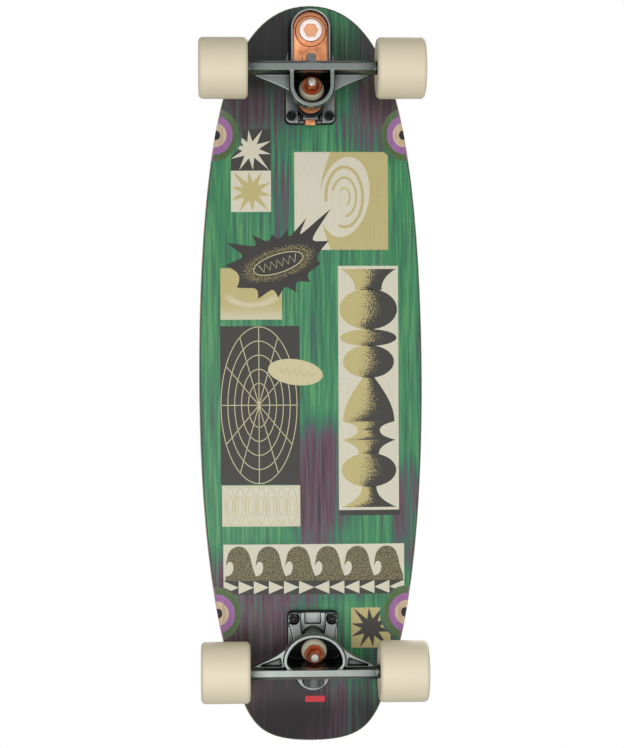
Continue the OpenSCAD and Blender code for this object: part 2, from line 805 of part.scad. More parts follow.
module pivot_cup(truck_h) {
    color("ivory") steering_frame(truck_h) translate([0, 0, pivot_reach - stem_l]) difference() {
        cylinder(r = stem_r + running_gap + pivot_cup_t, h = stem_l + pivot_cup_t);
        translate([0, 0, -cut]) cylinder(r = stem_r + running_gap, h = stem_l + running_gap + cut);
    }
}

module rear_pivot_cup() rear_frame() pivot_cup(rear_truck_h);
module front_pivot_cup() front_frame() pivot_cup(front_truck_h);

module kingpin(truck_h) {
    color("silver") kingpin_frame(truck_h) {
        translate([0, 0, kingpin_seat - kingpin_grip])
            cylinder(r = kingpin_d / 2, h = kingpin_top - kingpin_seat + kingpin_grip - 1);
        translate([0, 0, kingpin_top - 1]) cylinder(r1 = kingpin_d / 2, r2 = kingpin_d / 2 - 1, h = 1);
        translate([0, 0, kingpin_seat - kingpin_grip - kingpin_head_h]) hex(kingpin_head_af, kingpin_head_h);
    }
}

module rear_kingpin() rear_frame() kingpin(rear_truck_h);
module front_kingpin() front_frame() kingpin(front_truck_h);

module kingpin_nut(truck_h) {
    color("silver") kingpin_frame(truck_h) translate([0, 0, kingpin_nut_at]) difference() {
        union() {
            hex(kingpin_nut_af, kingpin_nut_h - 2);
            cylinder(r = kingpin_nut_af / 2 - 0.6, h = kingpin_nut_h);
        }
        translate([0, 0, -cut]) cylinder(r = kingpin_d / 2 + seat_gap, h = kingpin_nut_h + 2 * cut);
    }
}

module rear_kingpin_nut() rear_frame() kingpin_nut(rear_truck_h);
module front_kingpin_nut() front_frame() kingpin_nut(front_truck_h);

module cup_washers(truck_h) {
    color([0.78, 0.47, 0.30]) kingpin_frame(truck_h)
        for (z = [kingpin_seat, ring_half + road_bushing_h]) translate([0, 0, z])
            ring(cup_washer_d / 2, kingpin_d / 2 + 0.1, cup_washer_t);
}

module rear_cup_washers() rear_frame() cup_washers(rear_truck_h);
module front_cup_washers() front_frame() cup_washers(front_truck_h);

module board_bushing(truck_h) {
    color("cornsilk") kingpin_frame(truck_h) translate([0, 0, -ring_half - board_bushing_h])
        ring(bushing_d / 2 - 2, kingpin_d / 2 + 0.2, board_bushing_h);
}

module road_bushing(truck_h) {
    straight = 3;
    color("cornsilk") kingpin_frame(truck_h) translate([0, 0, ring_half]) difference() {
        union() {
            cylinder(r = bushing_d / 2, h = straight);
            translate([0, 0, straight])
                cylinder(r1 = bushing_d / 2, r2 = cup_washer_d / 2 - 0.5, h = road_bushing_h - straight);
        }
        translate([0, 0, -cut]) cylinder(r = kingpin_d / 2 + 0.2, h = road_bushing_h + 2 * cut);
    }
}

module rear_board_bushing() rear_frame() board_bushing(rear_truck_h);
module rear_road_bushing() rear_frame() road_bushing(rear_truck_h);
module front_board_bushing() front_frame() board_bushing(front_truck_h);
module front_road_bushing() front_frame() road_bushing(front_truck_h);

// ---------------------------------------------------------------- hangers

// Straight bar with a thin outboard flange and a round barrel at each end, drawn about the axle
module hanger_bar() {
    rotate([90, 0, 90]) translate([0, 0, -barrel_at]) linear_extrude(2 * barrel_at) {
        polygon(bar_section);
        translate([0, flange_z[0]]) square([flange_y, flange_z[1] - flange_z[0]]);
    }
    rotate([0, 90, 0]) for (side = [0, 1]) mirror([0, 0, side]) translate([0, 0, barrel_at - barrel_l])
        cylinder(r = barrel_r, h = hanger_w / 2 - barrel_at + barrel_l);
}

// Ring on the kingpin and the stem that turns in the pivot cup
module ring_and_stem(truck_h) {
    kingpin_frame(truck_h) translate([0, 0, -ring_half]) cylinder(r = 18, h = 2 * ring_half);
    steering_frame(truck_h) {
        translate([0, 0, 16]) cylinder(r1 = 9, r2 = stem_r, h = pivot_reach - stem_l - 17);
        translate([0, 0, pivot_reach - stem_l - 2]) cylinder(r = stem_r, h = stem_l + 1);
        translate([0, 0, pivot_reach - 1]) cylinder(r1 = stem_r, r2 = stem_r - 1, h = 1);
    }
}

module hanger_bores(truck_h) {
    kingpin_frame(truck_h) translate([0, 0, -ring_half - cut])
        cylinder(r = ring_bore_r, h = 2 * ring_half + 2 * cut);
    translate([-hanger_w, 0, truck_h]) rotate([0, 90, 0])
        cylinder(r = axle_d / 2 + seat_gap, h = 2 * hanger_w);
}

// A slab square to the kingpin, from one height along it to the rim's level. The first child is its
// plan about the kingpin; the second is the same plan with its draft, which keeps it from leaning inboard.
module cup_prism(truck_h, from) {
    intersection() {
        kingpin_frame(truck_h) translate([0, 0, from]) linear_extrude(60) children(0);
        translate([0, rim_out - ring_in]) linear_extrude(truck_h + cup_rim) children(1);
    }
}

// Both sides of a plan from its right half, which runs from the inboard end to the outboard end
module both_sides(half) {
    polygon(concat(half, [for (p = reversed(half)) [-p.x, p.y]]));
}

function curve(a, b, c, d, steps) = [for (i = [0 : steps - 1]) bezier(a, b, c, d, i / steps)];

// Room for the road bushing and its washer, which lie under the bar
module bushing_room(truck_h) {
    kingpin_frame(truck_h) translate([0, 0, ring_half])
        cylinder(r = bushing_d / 2 + bushing_room_gap, h = kingpin_nut_at - ring_half + 1.8);
}

// Everything inboard of the flat side of an opening
module inboard_of_flat() {
    translate([-50, -50]) square([100, 50 + cup_flat]);
}

// Front cup: a ring with a straight-sided outboard end
module front_cup_plan(r) {
    translate([0, -cup_back]) circle(r);
    translate([-r, -cup_back]) square([2 * r, 14 + cup_back]);
}

// The front cup narrows to a round foot at its deck side
module front_cup_body() {
    body_h = 40;
    translate([0, -cup_back, -ring_half])
        cylinder(r1 = cup_foot_r, r2 = cup_foot_r + body_h * (cup_r - cup_foot_r) / cup_flare, h = body_h);
}

module front_hanger() {
    h = front_truck_h;
    gusset = concat(
        curve([0, -36], [16, -36], [18, -29], [24, -24], 8),
        curve([24, -24], [35, -17.5], [50, -12], [barrel_at, -bar_flank], 8),
        [[barrel_at, -bar_flank], [barrel_at, 0]]);
    color("gray") front_frame() difference() {
        union() {
            translate([0, 0, h]) hanger_bar();
            intersection() {
                cup_prism(h, -ring_half) {
                    front_cup_plan(cup_r);
                    front_cup_plan(cup_r + cup_draft);
                }
                kingpin_frame(h) front_cup_body();
            }
            ring_and_stem(h);
            // Gusset plates between the cup and the wheels
            translate([0, 0, h + gusset_z[0]]) linear_extrude(gusset_z[1] - gusset_z[0]) both_sides(gusset);
        }
        cup_prism(h, ring_half) {
            intersection() {
                front_cup_plan(cup_bore);
                inboard_of_flat();
            }
            front_cup_plan(cup_bore + cup_draft);
        }
        bushing_room(h);
        hanger_bores(h);
    }
}

// Rear opening, drawn about the kingpin: a dome that is widest near its flat outboard side
rear_dome = [for (p = concat(
    curve([0, -35.5], [14, -35.5], [27.5, -26], [29.3, -13], 10),
    curve([29.3, -13], [30.3, -6], [24, -2.2], [12, -1.6], 8),
    [[12, -1.6]])) p + [0, ring_in - rim_out]];

module rear_cup_plan(grow) {
    both_sides([for (p = rear_dome) p * (1 + grow / norm(p))]);
}

module rear_hanger() {
    h = rear_truck_h;
    wing = concat(
        curve([0, -40.5], [15, -40.5], [22, -33], [29, -26], 10),
        curve([29, -26], [37, -18], [50, -11.5], [barrel_at, -bar_flank], 10),
        [[barrel_at, -bar_flank], [barrel_at, 0]]);
    pocket = [[36, -14.8], [57, -7.6], [57, -6.4], [34.5, -6.4]];
    color("gray") rear_frame() difference() {
        union() {
            translate([0, 0, h]) hanger_bar();
            cup_prism(h, -ring_half) {
                rear_cup_plan(rear_wall);
                rear_cup_plan(rear_wall + cup_draft);
            }
            ring_and_stem(h);
            translate([0, 0, h + gusset_z[0]]) linear_extrude(wing_top - gusset_z[0]) both_sides(wing);
        }
        cup_prism(h, ring_half) {
            intersection() {
                rear_cup_plan(0);
                inboard_of_flat();
            }
            rear_cup_plan(cup_draft);
        }
        bushing_room(h);
        // Triangular pockets in the wings
        for (side = [0, 1]) mirror([side, 0, 0]) translate([0, 0, h + wing_top - pocket_depth])
            linear_extrude(20) polygon(pocket);
        hanger_bores(h);
    }
}

// ---------------------------------------------------------------- axles and wheels

module axle_frame(truck_h) {
    translate([0, 0, truck_h]) rotate([0, 90, 0]) children();
}

module axle(truck_h) {
    color("silver") axle_frame(truck_h) {
        translate([0, 0, -axle_half + 1]) cylinder(r = axle_d / 2, h = 2 * axle_half - 2);
        for (side = [0, 1]) mirror([0, 0, side]) translate([0, 0, axle_half - 1])
            cylinder(r1 = axle_d / 2, r2 = axle_d / 2 - 0.8, h = 1);
    }
}

module front_axle() front_frame() axle(front_truck_h);
module rear_axle() rear_frame() axle(rear_truck_h);

module axle_nuts(truck_h) {
    at = wheel_mid + stack_l / 2 + speed_ring_t;
    color("silver") axle_frame(truck_h) for (side = [0, 1]) mirror([0, 0, side]) translate([0, 0, at])
        difference() {
            union() {
                hex(axle_nut_af, axle_nut_h - 1.5);
                cylinder(r = axle_nut_af / 2 - 0.5, h = axle_nut_h);
            }
            translate([0, 0, -cut]) cylinder(r = axle_d / 2 + seat_gap, h = axle_nut_h + 2 * cut);
        }
}

module front_axle_nuts() front_frame() axle_nuts(front_truck_h);
module rear_axle_nuts() rear_frame() axle_nuts(rear_truck_h);

// Bearing spacer and the two speed rings of each wheel
module axle_spacers(truck_h) {
    bore = axle_d / 2 + seat_gap;
    color("lightgray") axle_frame(truck_h) for (side = [0, 1]) mirror([0, 0, side]) {
        translate([0, 0, wheel_mid - spacer_l / 2]) ring(inner_race_r - 0.5, bore, spacer_l);
        translate([0, 0, hanger_w / 2]) ring(inner_race_r, bore, speed_ring_t);
        translate([0, 0, wheel_mid + stack_l / 2]) ring(inner_race_r, bore, speed_ring_t);
    }
}

module front_axle_spacers() front_frame() axle_spacers(front_truck_h);
module rear_axle_spacers() rear_frame() axle_spacers(rear_truck_h);

module inner_races(truck_h) {
    color("silver") axle_frame(truck_h) for (side = [0, 1]) mirror([0, 0, side])
        for (z = [wheel_mid - stack_l / 2, wheel_mid + spacer_l / 2]) translate([0, 0, z])
            ring(inner_race_r, axle_d / 2 + seat_gap, bearing_w);
}

module front_inner_races() front_frame() inner_races(front_truck_h);
module rear_inner_races() rear_frame() inner_races(rear_truck_h);

// Frame of one wheel: +z points outboard along the axle from the middle of the wheel
module wheel_frame(axle_y, side) {
    translate([side * wheel_mid, axle_y, wheel_r]) rotate([0, side * 90, 0]) children();
}

module tyre(axle_y, side) {
    half = wheel_w / 2;
    seat = stack_l / 2;
    color([0.86, 0.82, 0.72]) wheel_frame(axle_y, side) rotate_extrude() difference() {
        union() {
            translate([0, -half]) square([wheel_r - lip_r, wheel_w]);
            translate([0, -half + lip_r]) square([wheel_r, wheel_w - 2 * lip_r]);
            for (y = [-1, 1]) translate([wheel_r - lip_r, y * (half - lip_r)]) circle(lip_r);
        }
        translate([-cut, -half - cut]) square([wheel_bore_r + cut, wheel_w + 2 * cut]);
        for (y = [-1, 1]) scale([1, y]) {
            translate([0, spacer_l / 2]) square([bearing_d / 2 + seat_gap, half]);
            polygon([[0, seat + bearing_lip], [dish_floor_r, seat + bearing_lip],
                     [dish_r * wheel_d / 65, half], [dish_r * wheel_d / 65, half + cut], [0, half + cut]]);
        }
    }
}

module outer_races(axle_y, side) {
    outer = bearing_d / 2;
    color("silver") wheel_frame(axle_y, side)
        for (z = [-stack_l / 2, spacer_l / 2]) translate([0, 0, z]) {
            ring(outer, outer - outer_race_t, bearing_w);
            for (s = [shield_t, bearing_w - 2 * shield_t]) translate([0, 0, s])
                ring(outer - outer_race_t + eps, inner_race_r + clear, shield_t);
        }
}

module front_left_tyre() tyre(front_axle_y, -1);
module front_left_outer_races() outer_races(front_axle_y, -1);
module front_right_tyre() tyre(front_axle_y, 1);
module front_right_outer_races() outer_races(front_axle_y, 1);
module rear_left_tyre() tyre(rear_axle_y, -1);
module rear_left_outer_races() outer_races(rear_axle_y, -1);
module rear_right_tyre() tyre(rear_axle_y, 1);
module rear_right_outer_races() outer_races(rear_axle_y, 1);

// ---------------------------------------------------------------- output

ply_1();
ply_2();
ply_3();
ply_4();
ply_5();
ply_6();
ply_7();
grip_tape();
front_riser();
rear_riser();
front_base();
rear_base();
front_deck_bolts();
rear_deck_bolts();
front_deck_nuts();
rear_deck_nuts();
swivel_bolt();
swivel_lock_nut();
centring_spring();
spring_adjuster();
rear_pivot_cup();
rear_kingpin();
rear_kingpin_nut();
rear_cup_washers();
rear_board_bushing();
rear_road_bushing();
swivel_arm();
arm_cover();
swivel_bush();
swivel_thrust_washer();
pivot_cap_screw();
front_pivot_cup();
front_kingpin();
front_kingpin_nut();
front_cup_washers();
front_board_bushing();
front_road_bushing();
front_hanger();
front_axle();
front_axle_nuts();
front_axle_spacers();
front_inner_races();
rear_hanger();
rear_axle();
rear_axle_nuts();
rear_axle_spacers();
rear_inner_races();
front_left_tyre();
front_left_outer_races();
front_right_tyre();
front_right_outer_races();
rear_left_tyre();
rear_left_outer_races();
rear_right_tyre();
rear_right_outer_races();
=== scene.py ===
"""Looks of a surf skateboard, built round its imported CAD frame.

The deck gets its dyed veneers, streaked print and printed panels, the trucks their cast, plated and moulded
finishes, and the wheels their urethane. All sizes are in metres; MM turns millimetres into metres.
"""

from __future__ import annotations

import json
import logging
import math
from dataclasses import dataclass, replace
from enum import Enum
from functools import cached_property
from typing import Iterable, Sequence

import bmesh
import bpy
from mathutils import Matrix, Vector
from mathutils.bvhtree import BVHTree

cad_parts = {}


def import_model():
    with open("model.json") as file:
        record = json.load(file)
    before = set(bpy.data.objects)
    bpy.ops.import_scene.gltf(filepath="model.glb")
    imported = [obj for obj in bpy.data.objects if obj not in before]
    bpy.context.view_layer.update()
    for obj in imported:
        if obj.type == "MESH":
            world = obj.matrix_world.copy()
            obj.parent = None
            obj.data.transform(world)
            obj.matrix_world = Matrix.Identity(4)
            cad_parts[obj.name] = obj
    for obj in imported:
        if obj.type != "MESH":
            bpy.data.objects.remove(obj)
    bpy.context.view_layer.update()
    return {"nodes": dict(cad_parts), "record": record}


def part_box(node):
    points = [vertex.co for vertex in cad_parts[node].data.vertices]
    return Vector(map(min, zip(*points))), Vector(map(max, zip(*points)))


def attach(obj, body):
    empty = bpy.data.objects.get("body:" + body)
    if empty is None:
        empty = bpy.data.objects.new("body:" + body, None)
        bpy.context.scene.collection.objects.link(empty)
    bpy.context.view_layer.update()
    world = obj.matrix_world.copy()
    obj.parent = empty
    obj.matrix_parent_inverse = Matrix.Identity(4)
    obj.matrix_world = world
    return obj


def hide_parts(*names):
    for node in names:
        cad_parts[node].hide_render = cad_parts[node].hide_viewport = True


MM = 0.001
ENDS = ("front", "rear")
SIDES = ("left", "right")
Colour = tuple[float, float, float, float]
Point = tuple[float, float]
Triple = tuple[float, float, float]
Line = tuple[Sequence[Point], bool]  # the points, and whether the last one joins the first
WELL_X = 103 * MM  # middles of the wheel wells, to either side of the deck's own middle
WELL_Y = 260 * MM
WELL_R = 29.4 * MM
FLAT_HALF = 40 * MM  # half-width of the deck's flat strip, beside which it curves upwards
SPIKED_MIDDLE = (-35.0, -120.0)  # the printed spiked shape's middle, in millimetres
SPIKED_TURN = -18.0  # and its turn, in degrees
FORM_UV = "form"
SAME = 0.001 * MM  # corners this near each other count as one
log = logging.getLogger("skateboard")


# ---------------------------------------------------------------- shader tools


def paint(red: int, green: int, blue: int) -> Colour:
    """A display colour as the linear colour that a shader takes.

    Args:
        red: Red, from 0 to 255.
        green: Green, likewise.
        blue: Blue, likewise.

    Returns:
        The colour, opaque.
    """

    def linear(channel: int) -> float:
        value = channel / 255
        return value / 12.92 if value <= 0.04045 else ((value + 0.055) / 1.055) ** 2.4

    return (linear(red), linear(green), linear(blue), 1.0)


class Wire:
    """An output of a shader node that takes part in Python expressions."""

    def __init__(self, shader: Shader, socket: bpy.types.NodeSocket) -> None:
        """Keeps the socket and the shader that it belongs to."""
        self.shader = shader
        self.socket = socket

    def __add__(self, other: Wire | float) -> Wire:
        """Sum."""
        return self.shader.maths("ADD", self, other)

    def __sub__(self, other: Wire | float) -> Wire:
        """Difference."""
        return self.shader.maths("SUBTRACT", self, other)

    def __rsub__(self, other: Wire | float) -> Wire:
        """Difference with the number first."""
        return self.shader.maths("SUBTRACT", other, self)

    def __mul__(self, other: Wire | float) -> Wire:
        """Product."""
        return self.shader.maths("MULTIPLY", self, other)

    def __truediv__(self, other: Wire | float) -> Wire:
        """Quotient."""
        return self.shader.maths("DIVIDE", self, other)

    def __pow__(self, other: Wire | float) -> Wire:
        """Power."""
        return self.shader.maths("POWER", self, other)

    def __abs__(self) -> Wire:
        """Size without its sign."""
        return self.shader.maths("ABSOLUTE", self, 0.0)

    __radd__ = __add__
    __rmul__ = __mul__

    def above(self, other: Wire | float) -> Wire:
        """1 where this is greater than the other, else 0."""
        return self.shader.maths("GREATER_THAN", self, other)

    def most(self, other: Wire | float) -> Wire:
        """The greater of the two."""
        return self.shader.maths("MAXIMUM", self, other)

    def step(self, low: float, high: float) -> Wire:
        """A smooth step.

        Args:
            low: Up to here the step is 0.
            high: From here on it is 1.

        Returns:
            The step.
        """
        return self.shader.node(
            "ShaderNodeMapRange",
            {"interpolation_type": "SMOOTHSTEP"},
            {"Value": self, "From Min": low, "From Max": high},
        )


class Shader:
    """The node tree of one material or world, built up from expressions on wires."""

    def __init__(self, owner: bpy.types.Material | bpy.types.World) -> None:
        """Starts an empty tree.

        Args:
            owner: The material or world that it belongs to.
        """
        self.owner = owner
        owner.use_nodes = True
        self.tree = owner.node_tree
        self.tree.nodes.clear()

    def add(self, kind: str, settings: dict | None, sockets: dict | None) -> bpy.types.ShaderNode:
        """Makes one node.

        Args:
            kind: The node's type.
            settings: Its properties, set first; "stops" holds a colour ramp's places and colours.
            sockets: Values or wires of its inputs, by name or number.

        Returns:
            The node.
        """
        node = self.tree.nodes.new(kind)
        for key, value in (settings or {}).items():
            if key == "stops":
                self._set_stops(node.color_ramp, value)
            else:
                setattr(node, key, value)
        for key, value in (sockets or {}).items():
            if isinstance(value, Wire):
                self.tree.links.new(value.socket, node.inputs[key])
            else:
                node.inputs[key].default_value = value
        return node

    def node(
        self, kind: str, settings: dict | None = None, sockets: dict | None = None, output: int | str = 0
    ) -> Wire:
        """Makes one node, as add() does, and hands back the wire of one of its outputs."""
        return Wire(self, self.add(kind, settings, sockets).outputs[output])

    @staticmethod
    def _set_stops(ramp: bpy.types.ColorRamp, stops: Sequence[tuple[float, Colour]]) -> None:
        """Gives a colour ramp its stops, in order.

        Args:
            ramp: The ramp, fresh from its node.
            stops: Place and colour of each stop.
        """
        while len(ramp.elements) < len(stops):
            ramp.elements.new(1.0)
        for element, (place, colour) in zip(ramp.elements, stops):
            element.position = place
            element.color = colour

    def maths(self, operation: str, first: Wire | float, second: Wire | float) -> Wire:
        """A Math node on two numbers."""
        return self.node("ShaderNodeMath", {"operation": operation}, {0: first, 1: second})

    @cached_property
    def place(self) -> Wire:
        """Object coordinates, which are the frame's own metres."""
        return self.node("ShaderNodeTexCoord", output="Object")

    @cached_property
    def edge(self) -> Wire:
        """How far the surface stands out: a half on flat faces, more on outer edges."""
        return self.node("ShaderNodeNewGeometry", output="Pointiness")

    def axes(self, vector: Wire) -> tuple[Wire, Wire, Wire]:
        """The three parts of a vector."""
        return tuple(self.node("ShaderNodeSeparateXYZ", None, {0: vector}, part) for part in range(3))

    def noise(self, per_metre: float | Triple, detail: float = 2.0) -> Wire:
        """Soft noise over the object's own metres.

        Args:
            per_metre: Lumps per metre, the same along every axis or one number for each.
            detail: How many finer octaves are laid over the lumps.

        Returns:
            The noise, about a half on average.
        """
        by = per_metre if isinstance(per_metre, tuple) else (per_metre,) * 3
        scaled = self.node("ShaderNodeVectorMath", {"operation": "MULTIPLY"}, {0: self.place, 1: by})
        return self.node("ShaderNodeTexNoise", None, {"Vector": scaled, "Scale": 1.0, "Detail": detail})

    def mix(self, factor: Wire | float, first: Wire | Colour, second: Wire | Colour) -> Wire:
        """One colour turned into another by a factor."""
        return self.node("ShaderNodeMix", {"data_type": "RGBA"}, {0: factor, 6: first, 7: second}, 2)

    def ramp(self, value: Wire, stops: Sequence[tuple[float, Colour]]) -> Wire:
        """A colour looked up in a ramp."""
        return self.node("ShaderNodeValToRGB", {"stops": stops}, {0: value})

    def bump(self, height: Wire, depth: float, strength: float) -> Wire:
        """A surface normal from a height, which is depth metres deep from 0 to 1."""
        return self.node("ShaderNodeBump", None, {"Height": height, "Distance": depth, "Strength": strength})

    def surface(self, **sockets: Wire | float | Colour) -> bpy.types.Material:
        """Ends the material in a Principled shader.

        Args:
            **sockets: The shader's inputs, with _ for each space in their names.

        Returns:
            The material.
        """
        named = {key.replace("_", " "): value for key, value in sockets.items()}
        return self.shown(self.node("ShaderNodeBsdfPrincipled", None, named), "ShaderNodeOutputMaterial")

    def shown(self, shaded: Wire, output: str) -> bpy.types.Material | bpy.types.World:
        """Wires a shader to an output node's surface and hands back the material or world."""
        self.add(output, None, {"Surface": shaded})
        return self.owner


def away(east: Wire, north: Wire) -> Wire:
    """How far a place is from the middle, given its two distances."""
    return (east * east + north * north) ** 0.5


def darker(colour: Colour, share: float) -> Colour:
    """A colour at a share of its brightness."""
    return (*(channel * share for channel in colour[:3]), 1.0)


# ---------------------------------------------------------------- finishes


@dataclass(frozen=True)
class Finish:
    """A named finish; its material is made once and then shared."""

    name: str
    colour: Colour

    def material(self) -> bpy.types.Material:
        """The finish's material, whose name differs from those that come with the frame."""
        name = f"{self.name}_look"
        return bpy.data.materials.get(name) or self.make(Shader(bpy.data.materials.new(name)))

    def make(self, shader: Shader) -> bpy.types.Material:
        """Builds the material."""
        raise NotImplementedError


@dataclass(frozen=True)
class Casting(Finish):
    """Coated cast metal: a fine grain, soft patches of gloss, paler edges (rubbed wear and a painted
    highlight) and painted shade in recesses.
    """

    # Paler edge colour: partly rubbed wear, partly a painted highlight.
    rubbed_and_highlight: Colour = paint(206, 210, 206)
    # Dark colour painted into recesses as shade.
    painted_shade_colour: Colour = paint(8, 9, 9)
    rough: float = 0.2
    patch_shade: float = 0.72
    grain_per_metre: float = 1500
    patches_per_metre: float = 60
    grain_depth: float = 0.03 * MM
    recess_shade: float = 0.96  # how much of the painted shade colour the deepest recesses take
    shade_reach: float = 30 * MM
    rim_z: float = 0.0  # the height under which a rim is polished, or 0 for no such rim
    rim_blend: float = 0.1 * MM
    rim_polish: float = 0.75

    def make(self, shader: Shader) -> bpy.types.Material:
        """Builds the material.

        Args:
            shader: The empty material's shader.

        Returns:
            The material.
        """
        grain = shader.noise(self.grain_per_metre, 3)
        patches = shader.noise(self.patches_per_metre, 3)
        edge = shader.edge.step(0.53, 0.60)
        # Outer edges turn paler: rubbed wear and a painted highlight.
        rub_and_highlight = edge * (0.45 + 0.5 * patches)
        body = shader.mix(patches * 0.5, self.colour, darker(self.colour, self.patch_shade))
        if self.rim_z:
            up = shader.axes(shader.place)[2]
            inner = up.step(self.rim_z - self.rim_blend, self.rim_z + self.rim_blend)
            rub_and_highlight = rub_and_highlight.most((1.0 - inner) * self.rim_polish)
        # Painted shade: recesses darken towards the dark colour by ambient occlusion.
        reach = {"Distance": self.shade_reach}
        open_air = shader.node("ShaderNodeAmbientOcclusion", {"samples": 12}, reach, "AO")
        deep = (1.0 - open_air.step(0.35, 0.95)) * self.recess_shade
        return shader.surface(
            Base_Color=shader.mix(deep, shader.mix(rub_and_highlight, body, self.rubbed_and_highlight), self.painted_shade_colour),
            Metallic=1.0,
            Roughness=self.rough + 0.16 * patches - 0.08 * edge,
            Normal=shader.bump(grain, self.grain_depth, 0.35),
        )


@dataclass(frozen=True)
class Plating(Finish):
    """Plated or ground metal with turning marks and light handling marks."""

    rough: float = 0.24
    worn: Colour = paint(120, 112, 100)
    wear: float = 0.3
    marks_per_metre: Triple = (420, 3800, 3800)
    stains_per_metre: float = 130
    mark_depth: float = 0.02 * MM

    def make(self, shader: Shader) -> bpy.types.Material:
        """Builds the material.

        Args:
            shader: The empty material's shader.

        Returns:
            The material.
        """
        marks = shader.noise(self.marks_per_metre, 2)
        dull = shader.noise(self.stains_per_metre, 4).step(0.48, 0.75)
        return shader.surface(
            Base_Color=shader.mix(dull * self.wear, self.colour, self.worn),
            Metallic=1.0,
            Roughness=self.rough + 0.14 * marks + 0.16 * dull,
            Normal=shader.bump(marks, self.mark_depth, 0.4),
        )


@dataclass(frozen=True)
class BlackSteel(Finish):
    """Black oxide on steel, greyer where a tool has touched it."""

    bare: Colour = paint(92, 92, 96)
    rough: float = 0.38
    touches_per_metre: float = 500

    def make(self, shader: Shader) -> bpy.types.Material:
        """Builds the material.

        Args:
            shader: The empty material's shader.

        Returns:
            The material.
        """
        touched = shader.noise(self.touches_per_metre, 3).step(0.5, 0.72)
        edge = shader.edge.step(0.52, 0.62)
        return shader.surface(
            Base_Color=shader.mix(touched * 0.3 + edge * 0.6, self.colour, self.bare),
            Metallic=0.8,
            Roughness=self.rough + 0.2 * touched,
        )


@dataclass(frozen=True)
class Urethane(Finish):
    """Cast urethane: slightly clouded, with a soft gloss and light road dust."""

    dust: Colour = paint(176, 166, 142)
    dusty: float = 0.35
    rough: float = 0.36
    clouds_per_metre: float = 45
    specks_per_metre: float = 1800
    speck_depth: float = 0.03 * MM

    def make(self, shader: Shader) -> bpy.types.Material:
        """Builds the material.

        Args:
            shader: The empty material's shader.

        Returns:
            The material.
        """
        cloud = shader.noise(self.clouds_per_metre, 3)
        speck = shader.noise(self.specks_per_metre, 2)
        dust = cloud.step(0.5, 0.78) * speck.step(0.45, 0.7)
        return shader.surface(
            Base_Color=shader.mix(dust * self.dusty, self.colour, self.dust),
            Roughness=self.rough + 0.18 * cloud,
            Normal=shader.bump(speck, self.speck_depth, 0.4),
        )


@dataclass(frozen=True)
class Moulding(Finish):
    """Moulded rubber or plastic with a fine matt grain."""

    rough: float = 0.6
    patch_shade: float = 0.7
    grain_per_metre: float = 2600
    patches_per_metre: float = 80
    grain_depth: float = 0.04 * MM

    def make(self, shader: Shader) -> bpy.types.Material:
        """Builds the material.

        Args:
            shader: The empty material's shader.

        Returns:
            The material.
        """
        grain = shader.noise(self.grain_per_metre, 2)
        patches = shader.noise(self.patches_per_metre, 3)
        shaded = patches.step(0.35, 0.75) * 0.5
        return shader.surface(
            Base_Color=shader.mix(shaded, self.colour, darker(self.colour, self.patch_shade)),
            Roughness=self.rough + 0.15 * patches,
            Normal=shader.bump(grain, self.grain_depth, 0.5),
        )


@dataclass(frozen=True)
class Veneer(Finish):
    """Dyed or natural veneer with long grain lines."""

    grain: Colour = paint(120, 96, 70)
    strength: float = 0.45
    ledge: Colour | None = None  # colour of what shows round the rim, outside the wheel wells
    lines_per_metre: Triple = (900, 18, 900)
    bands_per_metre: Triple = (140, 6, 140)
    line_depth: float = 0.05 * MM
    facing_down: float = 0.6

    def make(self, shader: Shader) -> bpy.types.Material:
        """Builds the material.

        Args:
            shader: The empty material's shader.

        Returns:
            The material.
        """
        lines = shader.noise(self.lines_per_metre, 4)
        bands = shader.noise(self.bands_per_metre, 2)
        dark = lines.step(0.45, 0.68) * self.strength
        wide = bands.step(0.35, 0.7) * self.strength * 0.5
        dyed = shader.mix(dark.most(wide), self.colour, self.grain)
        if self.ledge:
            east, north, _ = shader.axes(shader.place)
            outside = away(abs(east) - WELL_X, abs(north) - WELL_Y).above(WELL_R)
            normal_z = shader.axes(shader.node("ShaderNodeNewGeometry", output="Normal"))[2]
            dyed = shader.mix(outside * (0.0 - normal_z).above(self.facing_down), dyed, self.ledge)
        return shader.surface(
            Base_Color=dyed,
            Roughness=0.46 + 0.2 * lines,
            Normal=shader.bump(lines, self.line_depth, 0.4),
        )


@dataclass(frozen=True)
class GripTape(Finish):
    """Black abrasive tape: coarse sharp grit with a few bright grains."""

    dust: Colour = paint(58, 56, 54)
    bright: Colour = paint(120, 120, 124)
    grit_per_metre: float = 1500.0
    glints_per_metre: float = 2600
    scuffs_per_metre: Triple = (16, 11, 16)
    grit_depth: float = 0.3 * MM

    def make(self, shader: Shader) -> bpy.types.Material:
        """Builds the material.

        Args:
            shader: The empty material's shader.

        Returns:
            The material.
        """
        grains = {"Vector": shader.place, "Scale": self.grit_per_metre}
        grit = shader.node("ShaderNodeTexVoronoi", None, grains)
        glint = shader.noise(self.glints_per_metre, 1).step(0.66, 0.76)
        scuff = shader.noise(self.scuffs_per_metre, 5).step(0.5, 0.75)
        dusty = shader.mix(scuff * 0.35, self.colour, self.dust)
        return shader.surface(
            Base_Color=shader.mix(glint * 0.5, dusty, self.bright),
            Roughness=0.82 - 0.2 * glint,
            Normal=shader.bump(grit, self.grit_depth, 0.8),
        )


@dataclass(frozen=True)
class Zone:
    """A soft oval patch of the deck, in millimetres, and how strongly it counts at its middle."""

    x: float
    y: float
    reach_x: float
    reach_y: float
    strength: float

    def weight(self, east: Wire, north: Wire) -> Wire:
        """How strongly the zone counts at a place.

        Args:
            east: The place's X, in metres.
            north: The place's Y, in metres.

        Returns:
            The zone's strength at its middle, running out softly round it.
        """
        off_x = (east - self.x * MM) / (self.reach_x * MM)
        off_y = (north - self.y * MM) / (self.reach_y * MM)
        return (1.0 - (off_x * off_x + off_y * off_y).step(0.1, 1.5)) * self.strength


